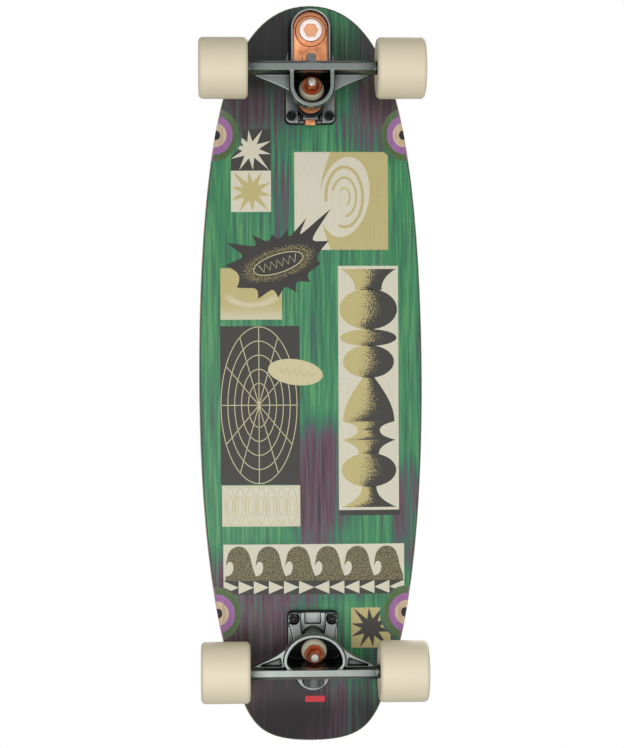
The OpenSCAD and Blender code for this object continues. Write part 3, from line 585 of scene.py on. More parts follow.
@dataclass(frozen=True)
class Streaks(Finish):
    """The deck's printed underside: long brush streaks that run from green through slate to purple."""

    fine_per_metre: Triple = (760, 16, 1)
    broad_per_metre: Triple = (260, 11, 1)
    wide_per_metre: Triple = (70, 6, 1)
    pores_per_metre: Triple = (2400, 60, 1)
    shade: Colour = paint(20, 14, 19)
    olive: Colour = paint(58, 84, 48)
    olive_light: Colour = paint(98, 130, 72)
    rim_radius: float = 500 * MM
    sanded_from: float = 0.04 * MM
    sanded_to: float = 0.12 * MM
    wells_end: float = 330 * MM
    wells_blend: float = 1 * MM
    pore_depth: float = 0.03 * MM
    tints: tuple[tuple[float, Colour], ...] = (
        (0.00, paint(86, 162, 98)),
        (0.16, paint(50, 143, 90)),
        (0.34, paint(38, 124, 84)),
        (0.47, paint(52, 98, 88)),
        (0.58, paint(92, 80, 92)),
        (0.70, paint(98, 56, 74)),
        (1.00, paint(44, 28, 40)),
    )
    purple_zones: tuple[Zone, ...] = (
        Zone(-75, -360, 75, 95, 0.50),
        Zone(95, -345, 48, 80, 0.50),
        Zone(75, -275, 45, 45, 0.34),
        Zone(-50, -270, 55, 35, 0.22),
        Zone(-30, -185, 14, 60, 0.30),
        Zone(118, -10, 14, 60, 0.10),
        Zone(8, 120, 34, 75, 0.56),
        Zone(105, 150, 22, 60, 0.36),
        Zone(0, 215, 150, 34, 0.32),
        Zone(-75, 320, 100, 105, 0.52),
        Zone(0, 400, 70, 90, 0.50),
        Zone(95, 330, 45, 90, 0.30),
    )
    dark_zones: tuple[Zone, ...] = (
        Zone(-62, -372, 66, 66, 1.0),
        Zone(-70, -300, 60, 40, 0.45),
        Zone(70, -345, 60, 62, 0.62),
        Zone(-70, 345, 90, 75, 0.62),
        Zone(20, 400, 90, 60, 0.62),
        Zone(80, 340, 40, 60, 0.50),
    )

    def make(self, shader: Shader) -> bpy.types.Material:
        """Builds the material.

        Args:
            shader: The empty material's shader.

        Returns:
            The material.
        """
        fine = shader.noise(self.fine_per_metre, 3)
        broad = shader.noise(self.broad_per_metre, 3)
        wide = shader.noise(self.wide_per_metre, 2)
        weight = 0.20 + 0.85 * (fine - 0.5) + 1.15 * (broad - 0.5) + 0.5 * (wide - 0.5)
        east, north, up = shader.axes(shader.place)
        for zone in self.purple_zones:
            weight = weight + zone.weight(east, north)
        gloom = 0.9 * (broad - 0.5)
        for zone in self.dark_zones:
            gloom = gloom + zone.weight(east, north)
        pores = shader.noise(self.pores_per_metre, 3).step(0.52, 0.72)
        inked = shader.mix((pores * 0.28).most(gloom), shader.ramp(weight, self.tints), self.shade)
        rise = self.rim_radius - (self.rim_radius**2 - ((abs(east) - FLAT_HALF).most(0.0)) ** 2) ** 0.5
        cut_in = (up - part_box("ply_1")[0].z - rise).step(self.sanded_from, self.sanded_to)
        sanded = cut_in * (1.0 - abs(north).step(self.wells_end, self.wells_end + self.wells_blend))
        stain = shader.mix(fine, self.olive, self.olive_light)
        return shader.surface(
            Base_Color=shader.mix(sanded, inked, stain),
            Roughness=0.42 + 0.15 * fine,
            Coat_Weight=0.15,
            Coat_Roughness=0.25,
            Normal=shader.bump(pores, self.pore_depth, 0.25),
        )


@dataclass(frozen=True)
class Ink(Finish):
    """Screen-printed ink over the veneer, a little thin and mottled."""

    under: Colour = paint(120, 116, 98)
    thin: float = 0.16
    rough: float = 0.5
    lines_per_metre: Triple = (900, 22, 1)
    mottle_per_metre: Triple = (300, 300, 1)
    line_depth: float = 0.02 * MM

    def make(self, shader: Shader) -> bpy.types.Material:
        """Builds the material.

        Args:
            shader: The empty material's shader.

        Returns:
            The material.
        """
        lines = shader.noise(self.lines_per_metre, 3).step(0.45, 0.75)
        mottle = shader.noise(self.mottle_per_metre, 4).step(0.45, 0.8)
        return shader.surface(
            Base_Color=shader.mix((lines * 0.6 + mottle * 0.6) * self.thin, self.colour, self.under),
            Roughness=self.rough,
            Normal=shader.bump(lines, self.line_depth, 0.3),
        )


@dataclass(frozen=True)
class Speckled(Finish):
    """Ink with a dense speckle of a second ink, as on the printed waves."""

    second: Colour = paint(150, 140, 96)
    rough: float = 0.5
    per_metre: float = 820.0
    level: float = 0.50
    blend: float = 0.03

    def make(self, shader: Shader) -> bpy.types.Material:
        """Builds the material.

        Args:
            shader: The empty material's shader.

        Returns:
            The material.
        """
        grains = shader.noise((self.per_metre, self.per_metre, 1), 2)
        cover = grains.step(self.level - self.blend, self.level + self.blend)
        return shader.surface(Base_Color=shader.mix(cover, self.colour, self.second), Roughness=self.rough)


@dataclass(frozen=True)
class Stippled(Finish):
    """A solid form drawn in stipple: light on one flank, dark on the other, read from the piece's UV map."""

    dark: Colour = paint(57, 55, 49)
    rough: float = 0.5
    dots_per_metre: Triple = (900, 900, 1)

    def make(self, shader: Shader) -> bpy.types.Material:
        """Builds the material.

        Args:
            shader: The empty material's shader.

        Returns:
            The material.
        """
        across, along, _ = shader.axes(shader.node("ShaderNodeUVMap", {"uv_map": FORM_UV}))
        dots = shader.noise(self.dots_per_metre, 2)
        low = (along - 0.55).most(0.0)
        tone = across * 1.25 + low * low * 2.2 - 0.12
        cover = (tone + (dots - 0.5) * 1.5).step(0.50, 0.58)
        return shader.surface(Base_Color=shader.mix(cover, self.colour, self.dark), Roughness=self.rough)


@dataclass(frozen=True)
class Glow(Finish):
    """Khaki ink that pales towards one edge of its panel, with a soft light crescent.

    Its places and reaches are in millimetres.
    """

    pale: Colour = paint(226, 220, 192)
    rough: float = 0.5
    mottle_per_metre: Triple = (260, 260, 1)
    middle: Point = (-64.0, -88.0)
    reach: Point = (26.0, 13.0)
    fade_from: float = -78.0
    fade_to: float = -58.0

    def make(self, shader: Shader) -> bpy.types.Material:
        """Builds the material.

        Args:
            shader: The empty material's shader.

        Returns:
            The material.
        """
        east, north, _ = shader.axes(shader.place)
        off_x = (east - self.middle[0] * MM) / (self.reach[0] * MM)
        off_y = (north - self.middle[1] * MM) / (self.reach[1] * MM)
        ring = abs(away(off_x, off_y) - 1.0)
        crescent = (1.0 - ring.step(0.0, 0.35)) * off_y.step(-0.2, 0.7)
        fade = north.step(self.fade_from * MM, self.fade_to * MM)
        mottle = shader.noise(self.mottle_per_metre, 3)
        light = (crescent * 0.8).most(fade * 0.75) * (0.7 + 0.5 * mottle)
        return shader.surface(Base_Color=shader.mix(light, self.colour, self.pale), Roughness=self.rough)


@dataclass(frozen=True)
class Halo(Finish):
    """Dark ink with an olive halftone ring round a dark middle, as on the spiked shape.

    The ring's reach, along the shape and across it, is in millimetres.
    """

    olive: Colour = paint(158, 146, 92)
    rough: float = 0.5
    dots_per_metre: Triple = (800, 800, 1)
    reach: Point = (34.0, 14.0)

    def make(self, shader: Shader) -> bpy.types.Material:
        """Builds the material.

        Args:
            shader: The empty material's shader.

        Returns:
            The material.
        """
        east, north, _ = shader.axes(shader.place)
        off_x = east - SPIKED_MIDDLE[0] * MM
        off_y = north - SPIKED_MIDDLE[1] * MM
        turn = math.radians(SPIKED_TURN)
        along = (off_x * math.cos(turn) + off_y * math.sin(turn)) / (self.reach[0] * MM)
        across = (off_y * math.cos(turn) - off_x * math.sin(turn)) / (self.reach[1] * MM)
        ring = 1.0 - abs(away(along, across) - 1.0).step(0.0, 0.55)
        dots = shader.noise(self.dots_per_metre, 2)
        cover = (ring * 0.42 + (dots - 0.5) * 1.6).step(0.42, 0.50)
        return shader.surface(Base_Color=shader.mix(cover, self.colour, self.olive), Roughness=self.rough)


CREAM_INK = Ink("cream_ink", paint(226, 221, 198))
KHAKI_INK = Ink("khaki_ink", paint(201, 187, 126))
CHARCOAL_INK = Ink("charcoal_ink", paint(57, 55, 49), under=paint(42, 42, 40), thin=0.5)
RED_INK = Ink("red_ink", paint(222, 44, 64))
LINE_INK = Ink("line_ink", paint(214, 206, 160))


# ---------------------------------------------------------------- mesh tools


def new_piece(name: str, mesh: bpy.types.Mesh) -> bpy.types.Object:
    """An object for a mesh, linked to the scene at the origin.

    Args:
        name: The object's name.
        mesh: Its mesh.

    Returns:
        The object.
    """
    piece = bpy.data.objects.new(name, mesh)
    bpy.context.scene.collection.objects.link(piece)
    return piece


def piece_from(shape: bmesh.types.BMesh, name: str) -> bpy.types.Object:
    """Turns a bmesh into a piece and frees it.

    Args:
        shape: The mesh's shape.
        name: Name of the piece and its mesh.

    Returns:
        The piece.
    """
    mesh = bpy.data.meshes.new(name)
    shape.to_mesh(mesh)
    shape.free()
    return new_piece(name, mesh)


def merged_shape(node: bpy.types.Object) -> bmesh.types.BMesh:
    """A copy of a CAD node's mesh with its loose triangles joined.

    Args:
        node: The CAD node.

    Returns:
        The copy, to be freed or turned into a piece.
    """
    shape = bmesh.new()
    shape.from_mesh(node.data)
    bmesh.ops.remove_doubles(shape, verts=shape.verts, dist=2 * SAME)
    bmesh.ops.dissolve_degenerate(shape, dist=SAME, edges=shape.edges)
    return shape


def smooth_by_angle(piece: bpy.types.Object, degrees: float) -> None:
    """Smooth shading with sharp edges where faces meet at more than an angle."""
    piece.data.shade_smooth()
    piece.data.set_sharp_from_angle(angle=math.radians(degrees))


def apply_modifiers(piece: bpy.types.Object) -> None:
    """Turns a piece's modifiers into plain mesh.

    Args:
        piece: The piece, which loses its modifiers.
    """
    graph = bpy.context.evaluated_depsgraph_get()
    mesh = bpy.data.meshes.new_from_object(piece.evaluated_get(graph))
    piece.modifiers.clear()
    old = piece.data
    piece.data = mesh
    bpy.data.meshes.remove(old)


class Maker(Enum):
    """How the finished mesh of a CAD node is made."""

    CAST = "cast"  # remeshed and smoothed, so that every edge is soft
    MACHINED = "machined"  # crisp faces with a small bevel
    VENEER = "veneer"  # smooth faces with sharp rims


@dataclass
class Workshop:
    """Makes finished pieces and hands each to its CAD body."""

    nodes: dict[str, bpy.types.Object]
    bodies: dict[str, str]
    made: int = 0
    crisp_angle: float = 32  # degrees from which a machined piece's edges are sharp
    bevel_angle: float = 38
    rim_angle: float = 20

    def settle(
        self, piece: bpy.types.Object, body: str, slot: str, finish: Finish, stands_for: str = ""
    ) -> None:
        """Gives a piece its finish and body.

        Args:
            piece: The finished piece.
            body: The CAD body that it rides on.
            slot: Not used.
            finish: What it is finished in.
            stands_for: The CAD node that it replaces, if any.
        """
        if not piece.data.materials:
            piece.data.materials.append(finish.material())
        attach(piece, body)
        if stands_for:
            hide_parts(stands_for)
        self.made += 1
        log.info("%s: %d faces in %s on %s", piece.name, len(piece.data.polygons), finish.name, body)

    def remake(self, node: str, maker: Maker, finish: Finish, slot: str, size: float = 0.3) -> None:
        """Makes the finished piece of a CAD node.

        Args:
            node: The CAD node's name.
            maker: How its mesh is made.
            finish: What it is finished in.
            slot: The record's material slot.
            size: Voxel size of a casting or bevel width of a machined piece, in millimetres.
        """
        piece = piece_from(merged_shape(self.nodes[node]), f"{node}_finished")
        if maker is Maker.CAST:
            self._cast(piece, size * MM)
        elif maker is Maker.MACHINED:
            smooth_by_angle(piece, self.crisp_angle)
            bevel = piece.modifiers.new("edge", "BEVEL")
            bevel.limit_method = "ANGLE"
            bevel.angle_limit = math.radians(self.bevel_angle)
            bevel.width = size * MM
            bevel.segments = 2
            bevel.harden_normals = True
            apply_modifiers(piece)
        else:
            smooth_by_angle(piece, self.rim_angle)
        self.settle(piece, self.bodies[node], slot, finish, stands_for=node)

    @staticmethod
    def _cast(piece: bpy.types.Object, voxel: float, rounds: int = 3) -> None:
        """Remeshes a piece in voxels and smooths it, which rounds its edges as a casting's are.

        Args:
            piece: The piece.
            voxel: Size of the voxels, in metres.
            rounds: How many times it is smoothed.
        """
        remesh = piece.modifiers.new("skin", "REMESH")
        remesh.mode = "VOXEL"
        remesh.voxel_size = voxel
        remesh.use_smooth_shade = True
        smooth = piece.modifiers.new("soften", "SMOOTH")
        smooth.factor = 0.5
        smooth.iterations = rounds
        apply_modifiers(piece)
        piece.data.shade_smooth()


# ---------------------------------------------------------------- deck print


def swung(offset: Point, middle: Point, turn: float) -> Point:
    """A place given from a middle, turned about that middle.

    Args:
        offset: The place, seen from the middle.
        middle: The middle.
        turn: The turn, in degrees.

    Returns:
        The place.
    """
    angle = math.radians(turn)
    x, y = offset
    across = x * math.cos(angle) - y * math.sin(angle)
    along = x * math.sin(angle) + y * math.cos(angle)
    return (middle[0] + across, middle[1] + along)


def ellipse(middle: Point, half: Point, turn: float = 0.0, steps: int = 48) -> list[Point]:
    """Points round an ellipse.

    Args:
        middle: Its middle.
        half: Its half axes.
        turn: Its turn, in degrees.
        steps: How many points.

    Returns:
        The outline.
    """
    angles = [2 * math.pi * index / steps for index in range(steps)]
    return [swung((half[0] * math.cos(a), half[1] * math.sin(a)), middle, turn) for a in angles]


def rectangle(low: Point, high: Point) -> list[Point]:
    """The corners of a rectangle."""
    return [(low[0], low[1]), (high[0], low[1]), (high[0], high[1]), (low[0], high[1])]


def star_in_square(middle: Point, half: float, rays: int, core: float, turn: float) -> list[Point]:
    """A star whose rays end on the edges of a square.

    Args:
        middle: The square's middle.
        half: Half of the square's side.
        rays: How many rays.
        core: Radius of the notches between the rays, as a share of half.
        turn: Direction of the first ray, in degrees.

    Returns:
        The outline.
    """
    points = []
    for index in range(2 * rays):
        a = math.radians(turn) + math.pi * index / rays
        edge = half / max(abs(math.cos(a)), abs(math.sin(a)))
        reach = edge if index % 2 == 0 else core * half
        points.append((middle[0] + reach * math.cos(a), middle[1] + reach * math.sin(a)))
    return points


def spiked(middle: Point, body: Point, turn: float, tips: Sequence[Point], steps: int = 10) -> list[Point]:
    """A turned ellipse with spikes whose flanks curve inwards.

    Args:
        middle: The ellipse's middle.
        body: Its half axes.
        turn: Its turn, in degrees.
        tips: Direction in degrees and reach of each spike, in order.
        steps: Points from one tip to the next.

    Returns:
        The outline.
    """
    points = []
    sharpness = 3.2
    for (start, first), (end, last) in zip(tips, (*tips[1:], (tips[0][0] + 360, tips[0][1]))):
        for index in range(steps):
            t = index / steps
            a = math.radians(start + t * (end - start))
            b = a - math.radians(turn)
            waist = 1 / math.hypot(math.cos(b) / body[0], math.sin(b) / body[1])
            rise = (1 - t) ** sharpness * (first - waist) + t**sharpness * (last - waist)
            reach = waist + rise
            points.append((middle[0] + reach * math.cos(a), middle[1] + reach * math.sin(a)))
    return points


def flowing(points: Sequence[Point], steps: int = 5) -> list[Point]:
    """A smooth open line through points.

    Args:
        points: The points, in order.
        steps: Points of the line from one to the next.

    Returns:
        The line.
    """
    ends = [points[0], *points, points[-1]]
    line = []
    for (ax, ay), (bx, by), (cx, cy), (dx, dy) in zip(ends, ends[1:], ends[2:], ends[3:]):
        for index in range(steps):
            t = index / steps
            near, far = 2 * t**3 - 3 * t**2 + 1, 3 * t**2 - 2 * t**3
            leave, reach = (t**3 - 2 * t**2 + t) / 2, (t**3 - t**2) / 2
            line.append(
                (
                    near * bx + far * cx + leave * (cx - ax) + reach * (dx - bx),
                    near * by + far * cy + leave * (cy - ay) + reach * (dy - by),
                )
            )
    return [*line, points[-1]]


def wave(left: float, base: float, width: float, height: float) -> list[Point]:
    """One running wave: a round back and a tip that curls back to the left over a round hollow.

    Args:
        left: Its left end.
        base: The line that it stands on.
        width: How wide it is.
        height: How high its back stands over the base.

    Returns:
        The outline.
    """
    back = (
        (1.0, 0.20), (0.91, 0.43), (0.84, 0.70), (0.72, 0.91),
        (0.52, 1.0), (0.30, 0.97), (0.11, 0.80), (0.02, 0.42),
    )
    hollow = ((0.02, 0.42), (0.12, 0.55), (0.23, 0.53), (0.28, 0.39), (0.23, 0.23), (0.12, 0.15), (0.0, 0.13))
    outline = [(0.0, 0.0), (1.02, 0.0), (1.02, 0.16), *flowing(back), *flowing(hollow)[1:]]
    return [(left + x * width, base - y * height) for x, y in outline]


def arc(start: float, end: float, steps: int) -> list[float]:
    """Evenly spaced angles from start to end."""
    return [start + (end - start) * index / steps for index in range(steps + 1)]


class Flank(Enum):
    """How a printed turned form's half-width runs between its two ends."""

    BALL = "ball"
    HOLLOW = "hollow"
    DOME = "dome"


@dataclass
class TurnedForm:
    """One form of the printed column, between two places along the deck."""

    start: float
    end: float
    flank: Flank
    first: float
    last: float
    thinnest: float = 4.0

    def half_width(self, t: float) -> float:
        """Half-width at a place along the form.

        Args:
            t: The place, from 0 at the start to 1 at the end.

        Returns:
            The half-width, in millimetres.
        """
        if self.flank is Flank.BALL:
            return max(self.first * math.sqrt(max(0.0, 1 - (2 * t - 1) ** 2)), self.thinnest)
        if self.flank is Flank.DOME:
            return self.first + (self.last - self.first) * math.sin(t * math.pi / 2)
        bend = (1 - t) ** 2.4 if self.first > self.last else t**2.4
        return min(self.first, self.last) + abs(self.first - self.last) * bend


@dataclass
class DeckPrint:
    """Everything printed on the deck's underside, as thin plates that follow its curve."""

    workshop: Workshop
    ground: BVHTree
    thickness: float = 0.04 * MM
    lift: float = 0.05 * MM
    pleat: float = 6 * MM
    well_sides: int = 28
    nudges: Triple = (0.013 * MM, -0.017 * MM, 0.031 * MM)

    def plate(self, name: str, outlines: Iterable[Sequence[Point]], finish: Finish, layer: int) -> None:
        """A thin plate from flat outlines in millimetres, laid on the deck.

        Args:
            name: The piece's name.
            outlines: One or more closed outlines that don't overlap.
            finish: The ink.
            layer: 0 for what lies on the deck, 1 for what lies on that, and so on.
        """
        shape = bmesh.new()
        for outline in outlines:
            corners = [shape.verts.new((x * MM, y * MM, 0)) for x, y in outline]
            shape.faces.new(corners)
        self.lay(shape, name, finish, layer)

    def ribbon(self, name: str, lines: Iterable[Line], width: float, finish: Finish, layer: int) -> None:
        """A plate made of narrow ribbons along lines.

        Args:
            name: The piece's name.
            lines: Points of each line in millimetres, and whether it closes.
            width: The ribbons' width, in millimetres.
            finish: The ink.
            layer: As for plate.
        """
        shape = bmesh.new()
        for points, closed in lines:
            count = len(points)
            rails: list[list[bmesh.types.BMVert]] = []
            for index, (x, y) in enumerate(points):
                before = points[index - 1] if closed or index else points[index]
                after = points[(index + 1) % count] if closed or index < count - 1 else points[index]
                along = Vector((after[0] - before[0], after[1] - before[1])).normalized()
                side = Vector((-along.y, along.x)) * (width / 2)
                banks = (((x + s * side.x) * MM, (y + s * side.y) * MM, 0) for s in (1, -1))
                rails.append([shape.verts.new(bank) for bank in banks])
            for index in range(count if closed else count - 1):
                (a, b), (c, d) = rails[index], rails[(index + 1) % count]
                shape.faces.new((a, b, d, c))
        self.lay(shape, name, finish, layer)

    def height(self, x: float, y: float) -> float:
        """Height of the underside at a place; the probe is nudged off the mesh's own edges.

        Args:
            x: The place, in metres.
            y: The place, in metres.

        Returns:
            The height, or that of the flat strip where no probe meets the deck.
        """
        for nudge in self.nudges:
            hit = self.ground.ray_cast(Vector((x + nudge, y + nudge, 0)), Vector((0, 0, 1)))[0]
            if hit:
                return hit.z
        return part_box("ply_1")[0].z

    @staticmethod
    def cut(shape: bmesh.types.BMesh, place: Point, across: Point) -> None:
        """Cuts a flat shape along a line.

        Args:
            shape: The shape.
            place: A place on the line, in metres.
            across: Direction square to the line.
        """
        bmesh.ops.bisect_plane(
            shape,
            geom=[*shape.verts, *shape.edges, *shape.faces],
            plane_co=(*place, 0),
            plane_no=(*across, 0),
            dist=SAME,
        )

    def clear_wells(self, shape: bmesh.types.BMesh) -> None:
        """Takes away what reaches into a sanded wheel well.

        Args:
            shape: The flat shape.
        """
        for side_x in (-1, 1):
            for side_y in (-1, 1):
                middle = Vector((side_x * WELL_X, side_y * WELL_Y))
                if all((v.co.xy - middle).length > WELL_R * 1.6 for v in shape.verts):
                    continue
                for index in range(self.well_sides):
                    a = 2 * math.pi * index / self.well_sides
                    across = (math.cos(a), math.sin(a))
                    self.cut(shape, (middle.x + WELL_R * across[0], middle.y + WELL_R * across[1]), across)
                inside = [f for f in shape.faces if (f.calc_center_median().xy - middle).length < WELL_R]
                bmesh.ops.delete(shape, geom=inside, context="FACES")

    def lay(self, shape: bmesh.types.BMesh, name: str, finish: Finish, layer: int) -> None:
        """Cuts a flat shape into strips, thickens it and drops it on the deck's curve.

        Args:
            shape: The flat shape, in metres.
            name: The piece's name.
            finish: The ink.
            layer: As for plate.
        """
        shape.normal_update()
        bmesh.ops.triangulate(shape, faces=shape.faces)
        self.clear_wells(shape)
        reach = max(abs(v.co.x) for v in shape.verts)
        place = FLAT_HALF
        while place < reach:
            for side in (-1, 1):
                self.cut(shape, (side * place, 0), (1, 0))
            place += self.pleat
        bmesh.ops.recalc_face_normals(shape, faces=shape.faces)
        if sum(f.normal.z for f in shape.faces) > 0:
            bmesh.ops.reverse_faces(shape, faces=shape.faces)
        raised = bmesh.ops.extrude_face_region(shape, geom=list(shape.faces))
        for vertex in (g for g in raised["geom"] if isinstance(g, bmesh.types.BMVert)):
            vertex.co.z = -self.thickness
        bmesh.ops.recalc_face_normals(shape, faces=shape.faces)
        for vertex in shape.verts:
            vertex.co.z += self.height(vertex.co.x, vertex.co.y) - self.lift - layer * self.thickness
        self.workshop.settle(piece_from(shape, name), "deck", "veneer_green", finish)

    def build(self) -> None:
        """Lays every printed panel."""
        self.bursts()
        self.ripples()
        self.glow_panel()
        self.spiked_shape()
        self.ring_panel()
        self.pod_panel()
        self.column_panel()
        self.wave_frieze()
        self.label()

    def bursts(self) -> None:
        """Two stacked squares with stars, and a third one by the rear truck."""
        left, right, top, fold, bottom = -86, -42.6, -266, -220.7, -176
        half = 21.7
        self.plate("burst_ground_dark", [rectangle((left, top), (right, fold))], CHARCOAL_INK, 0)
        self.plate("burst_ground_cream", [rectangle((left, fold), (right, bottom))], CREAM_INK, 0)
        self.plate("burst_cream", [star_in_square((-64.3, -243.2), half, 10, 0.42, 12)], CREAM_INK, 1)
        self.plate("burst_khaki", [star_in_square((-64.3, -198.2), half, 10, 0.46, 12)], KHAKI_INK, 1)
        self.plate("burst_ground_khaki", [rectangle((42.2, 253.9), (85.2, 297.4))], KHAKI_INK, 0)
        self.plate("burst_dark", [star_in_square((63.7, 275.6), half - 0.3, 10, 0.46, 12)], CHARCOAL_INK, 1)

    def ripples(self) -> None:
        """Square panel, khaki to one side, with soft ripples that spread from a point."""
        low, high = (-17.3, -240.8), (84.6, -134.6)
        middle, pool = (37.0, -192.0), (27, 44)
        self.plate("ripple_ground", [rectangle(low, high)], CREAM_INK, 0)
        edge = [(22 - 12 * math.sin(t * math.pi), low[1] + t * (high[1] - low[1])) for t in arc(0, 1, 24)]
        self.plate("ripple_field", [edge + [high, (high[0], low[1])]], KHAKI_INK, 1)
        self.plate("ripple_pool", [ellipse(middle, pool, 10)], CREAM_INK, 2)
        for index, share in enumerate((0.74, 0.48, 0.22)):
            ring = [
                (middle[0] + pool[0] * share * math.cos(a), middle[1] + pool[1] * share * math.sin(a))
                for a in arc(-3.3 + 0.5 * index, 1.9 - 0.4 * index, 36)
            ]
            self.ribbon(f"ripple_band_{index + 1}", [(ring, False)], 3.2 - 0.8 * index, KHAKI_INK, 3)

    def glow_panel(self) -> None:
        """Khaki panel that pales to one side."""
        finish = Glow("glow_ink", KHAKI_INK.colour)
        self.plate("glow_panel", [rectangle((-97.9, -115), (-31.2, -59.2))], finish, 0)

    def spiked_shape(self) -> None:
        """Dark shape with spikes, a halftone ring and a zigzag in its middle."""
        tips = (
            (0, 46), (30, 40), (58, 37), (90, 37), (120, 44), (150, 52), (178, 58),
            (202, 60), (228, 42), (258, 33), (286, 38), (302, 58), (314, 82), (336, 60),
        )
        outline = spiked(SPIKED_MIDDLE, (42, 24), SPIKED_TURN, tips)
        self.plate("spiked_shape", [outline], Halo("halo_ink", paint(48, 45, 42)), 4)
        pitch, tooth, last = 3.5, 4.2, 6
        zigzag = [
            swung((pitch * index, tooth if index % 2 else -tooth), SPIKED_MIDDLE, SPIKED_TURN)
            for index in range(-last, last + 1)
        ]
        mouth = ellipse(SPIKED_MIDDLE, (28, 10), SPIKED_TURN)
        self.ribbon("spiked_zigzag", [(zigzag, False), (mouth, True)], 0.9, LINE_INK, 5)

    def ring_panel(self) -> None:
        """Dark panel with rings one inside another, rays that cross them and an oval badge over its edge."""
        low, high = (-98.5, -52.2), (-12.4, 119.8)
        middle, half, ray_count = (-56.6, 33.6), (41.2, 85), 6
        self.plate("ring_ground", [rectangle(low, high)], CHARCOAL_INK, 0)
        lines: list[Line] = []
        for share in (1.0, 0.82, 0.64, 0.46, 0.28):
            lines.append((ellipse(middle, (half[0] * share, half[1] * share), steps=72), True))
        for index in range(ray_count):
            a = math.pi * index / ray_count
            x, y = half[0] * math.cos(a), half[1] * math.sin(a)
            lines.append(([(middle[0] - x, middle[1] - y), (middle[0] + x, middle[1] + y)], False))
        self.ribbon("ring_lines", lines, 0.9, LINE_INK, 1)
        badge, turn = (-17.0, -2.1), 8
        badge_ink = Ink("oval_ink", paint(218, 209, 164))
        self.plate("oval_badge", [ellipse(badge, (29.9, 14.0), turn)], badge_ink, 2)
        reach, swell, bends = 20, 4, 5
        wiggle = [
            swung((reach * t, swell * math.sin(bends * math.pi * t) * (1 - 0.4 * abs(t))), badge, turn)
            for t in arc(-1, 1, 20)
        ]
        self.ribbon("oval_wave", [(wiggle, False)], 0.8, KHAKI_INK, 3)

    def pod_panel(self) -> None:
        """Cream panel with a row of drawn pods."""
        low, high = (-97.1, 120.6), (-12.4, 165.1)
        self.plate("pod_ground", [rectangle(low, high)], CREAM_INK, 0)
        lines: list[Line] = []
        count, margin = 7, 3
        pitch = (high[0] - low[0] - 2 * margin) / count
        half_x, half_y = pitch * 0.46, 19.5
        middle_y = (low[1] + high[1]) / 2
        for index in range(count):
            middle = (low[0] + margin + pitch * (index + 0.5), middle_y)
            for share in (1.0, 0.55):
                lines.append((ellipse(middle, (half_x * share, half_y * share), steps=32), True))
        lines.append((rectangle((low[0] + 2, low[1] + 1.6), (high[0] - 2, high[1] - 1.6)), True))
        self.ribbon("pod_lines", lines, 0.55, KHAKI_INK, 1)

    def column_panel(self) -> None:
        """Tall cream panel with a stippled column of turned forms and a printed shadow below it."""
        low, high, middle = (29.7, -117.2), (95.2, 147.8), 62.6
        self.plate("column_shadow", [rectangle((31, 140), (96, 153.6))], CHARCOAL_INK, 0)
        self.plate("column_ground", [rectangle(low, high)], CREAM_INK, 1)
        forms = (
            TurnedForm(-113.8, -90.9, Flank.HOLLOW, 30.0, 14.5),
            TurnedForm(-92.5, -48.0, Flank.BALL, 31.4, 0),
            TurnedForm(-48.4, -30.0, Flank.BALL, 30.6, 0),
            TurnedForm(-31.0, 4.6, Flank.BALL, 27.8, 0),
            TurnedForm(3.6, 51.8, Flank.DOME, 6.0, 28.0),
            TurnedForm(51.8, 61.4, Flank.HOLLOW, 28.0, 12.0),
            TurnedForm(61.4, 71.8, Flank.HOLLOW, 12.0, 29.0),
            TurnedForm(71.8, 87.0, Flank.HOLLOW, 29.0, 11.0),
            TurnedForm(86.0, 123.0, Flank.BALL, 29.8, 0),
            TurnedForm(122.0, 144.8, Flank.HOLLOW, 8.0, 29.6),
        )
        finish = Stippled("stipple_ink", KHAKI_INK.colour)
        for index, form in enumerate(forms):
            self.turned(f"column_form_{index + 1:02d}", form, middle, finish)

    def turned(self, name: str, form: TurnedForm, middle: float, finish: Finish) -> None:
        """One stippled form, with a UV map that runs across and along it.

        Args:
            name: The piece's name.
            form: The form.
            middle: Where the column's middle line stands, in millimetres.
            finish: The ink.
        """
        columns, rows = 12, 24
        shape = bmesh.new()
        bmesh.ops.create_grid(shape, x_segments=columns, y_segments=rows, size=0.5)
        layer = shape.loops.layers.uv.new(FORM_UV)
        for face in shape.faces:
            for loop in face.loops:
                loop[layer].uv = (loop.vert.co.x + 0.5, loop.vert.co.y + 0.5)
        for vertex in shape.verts:
            t = vertex.co.y + 0.5
            half = form.half_width(t)
            vertex.co.x = (middle + 2 * vertex.co.x * half) * MM
            vertex.co.y = (form.start + t * (form.end - form.start)) * MM
        self.lay(shape, name, finish, 2)

    def wave_frieze(self) -> None:
        """Cream frieze with a row of waves over a dark band of triangles."""
        low, high, water = (-96.0, 184.6), (100.6, 238.9), 223.6
        self.plate("frieze_ground", [rectangle(low, high)], CREAM_INK, 0)
        self.plate("frieze_band", [rectangle((low[0], water), high)], CHARCOAL_INK, 1)
        count, margin, wave_h = 6, 2, 37
        pitch = (high[0] - low[0] - 2 * margin) / count
        waves = [wave(low[0] + margin + index * pitch, water + 0.3, pitch, wave_h) for index in range(count)]
        speckle = Speckled("wave_ink", paint(66, 62, 46), second=paint(142, 132, 90))
        for index, outline in enumerate(waves):
            self.plate(f"frieze_wave_{index + 1}", [outline], speckle, 2)
        middle_y, half = (water + high[1]) / 2, (high[1] - water) / 2 - 0.6
        arrow_count = 12
        step = (high[0] - low[0]) / arrow_count
        arrows: list[list[Point]] = []
        for index in range(arrow_count):
            ends = (low[0] + index * step, low[0] + (index + 1) * step)
            root, tip = ends if index < arrow_count / 2 else ends[::-1]
            arrows.append([(root, middle_y - half), (tip, middle_y), (root, middle_y + half)])
        self.plate("frieze_arrows", arrows, CREAM_INK, 2)

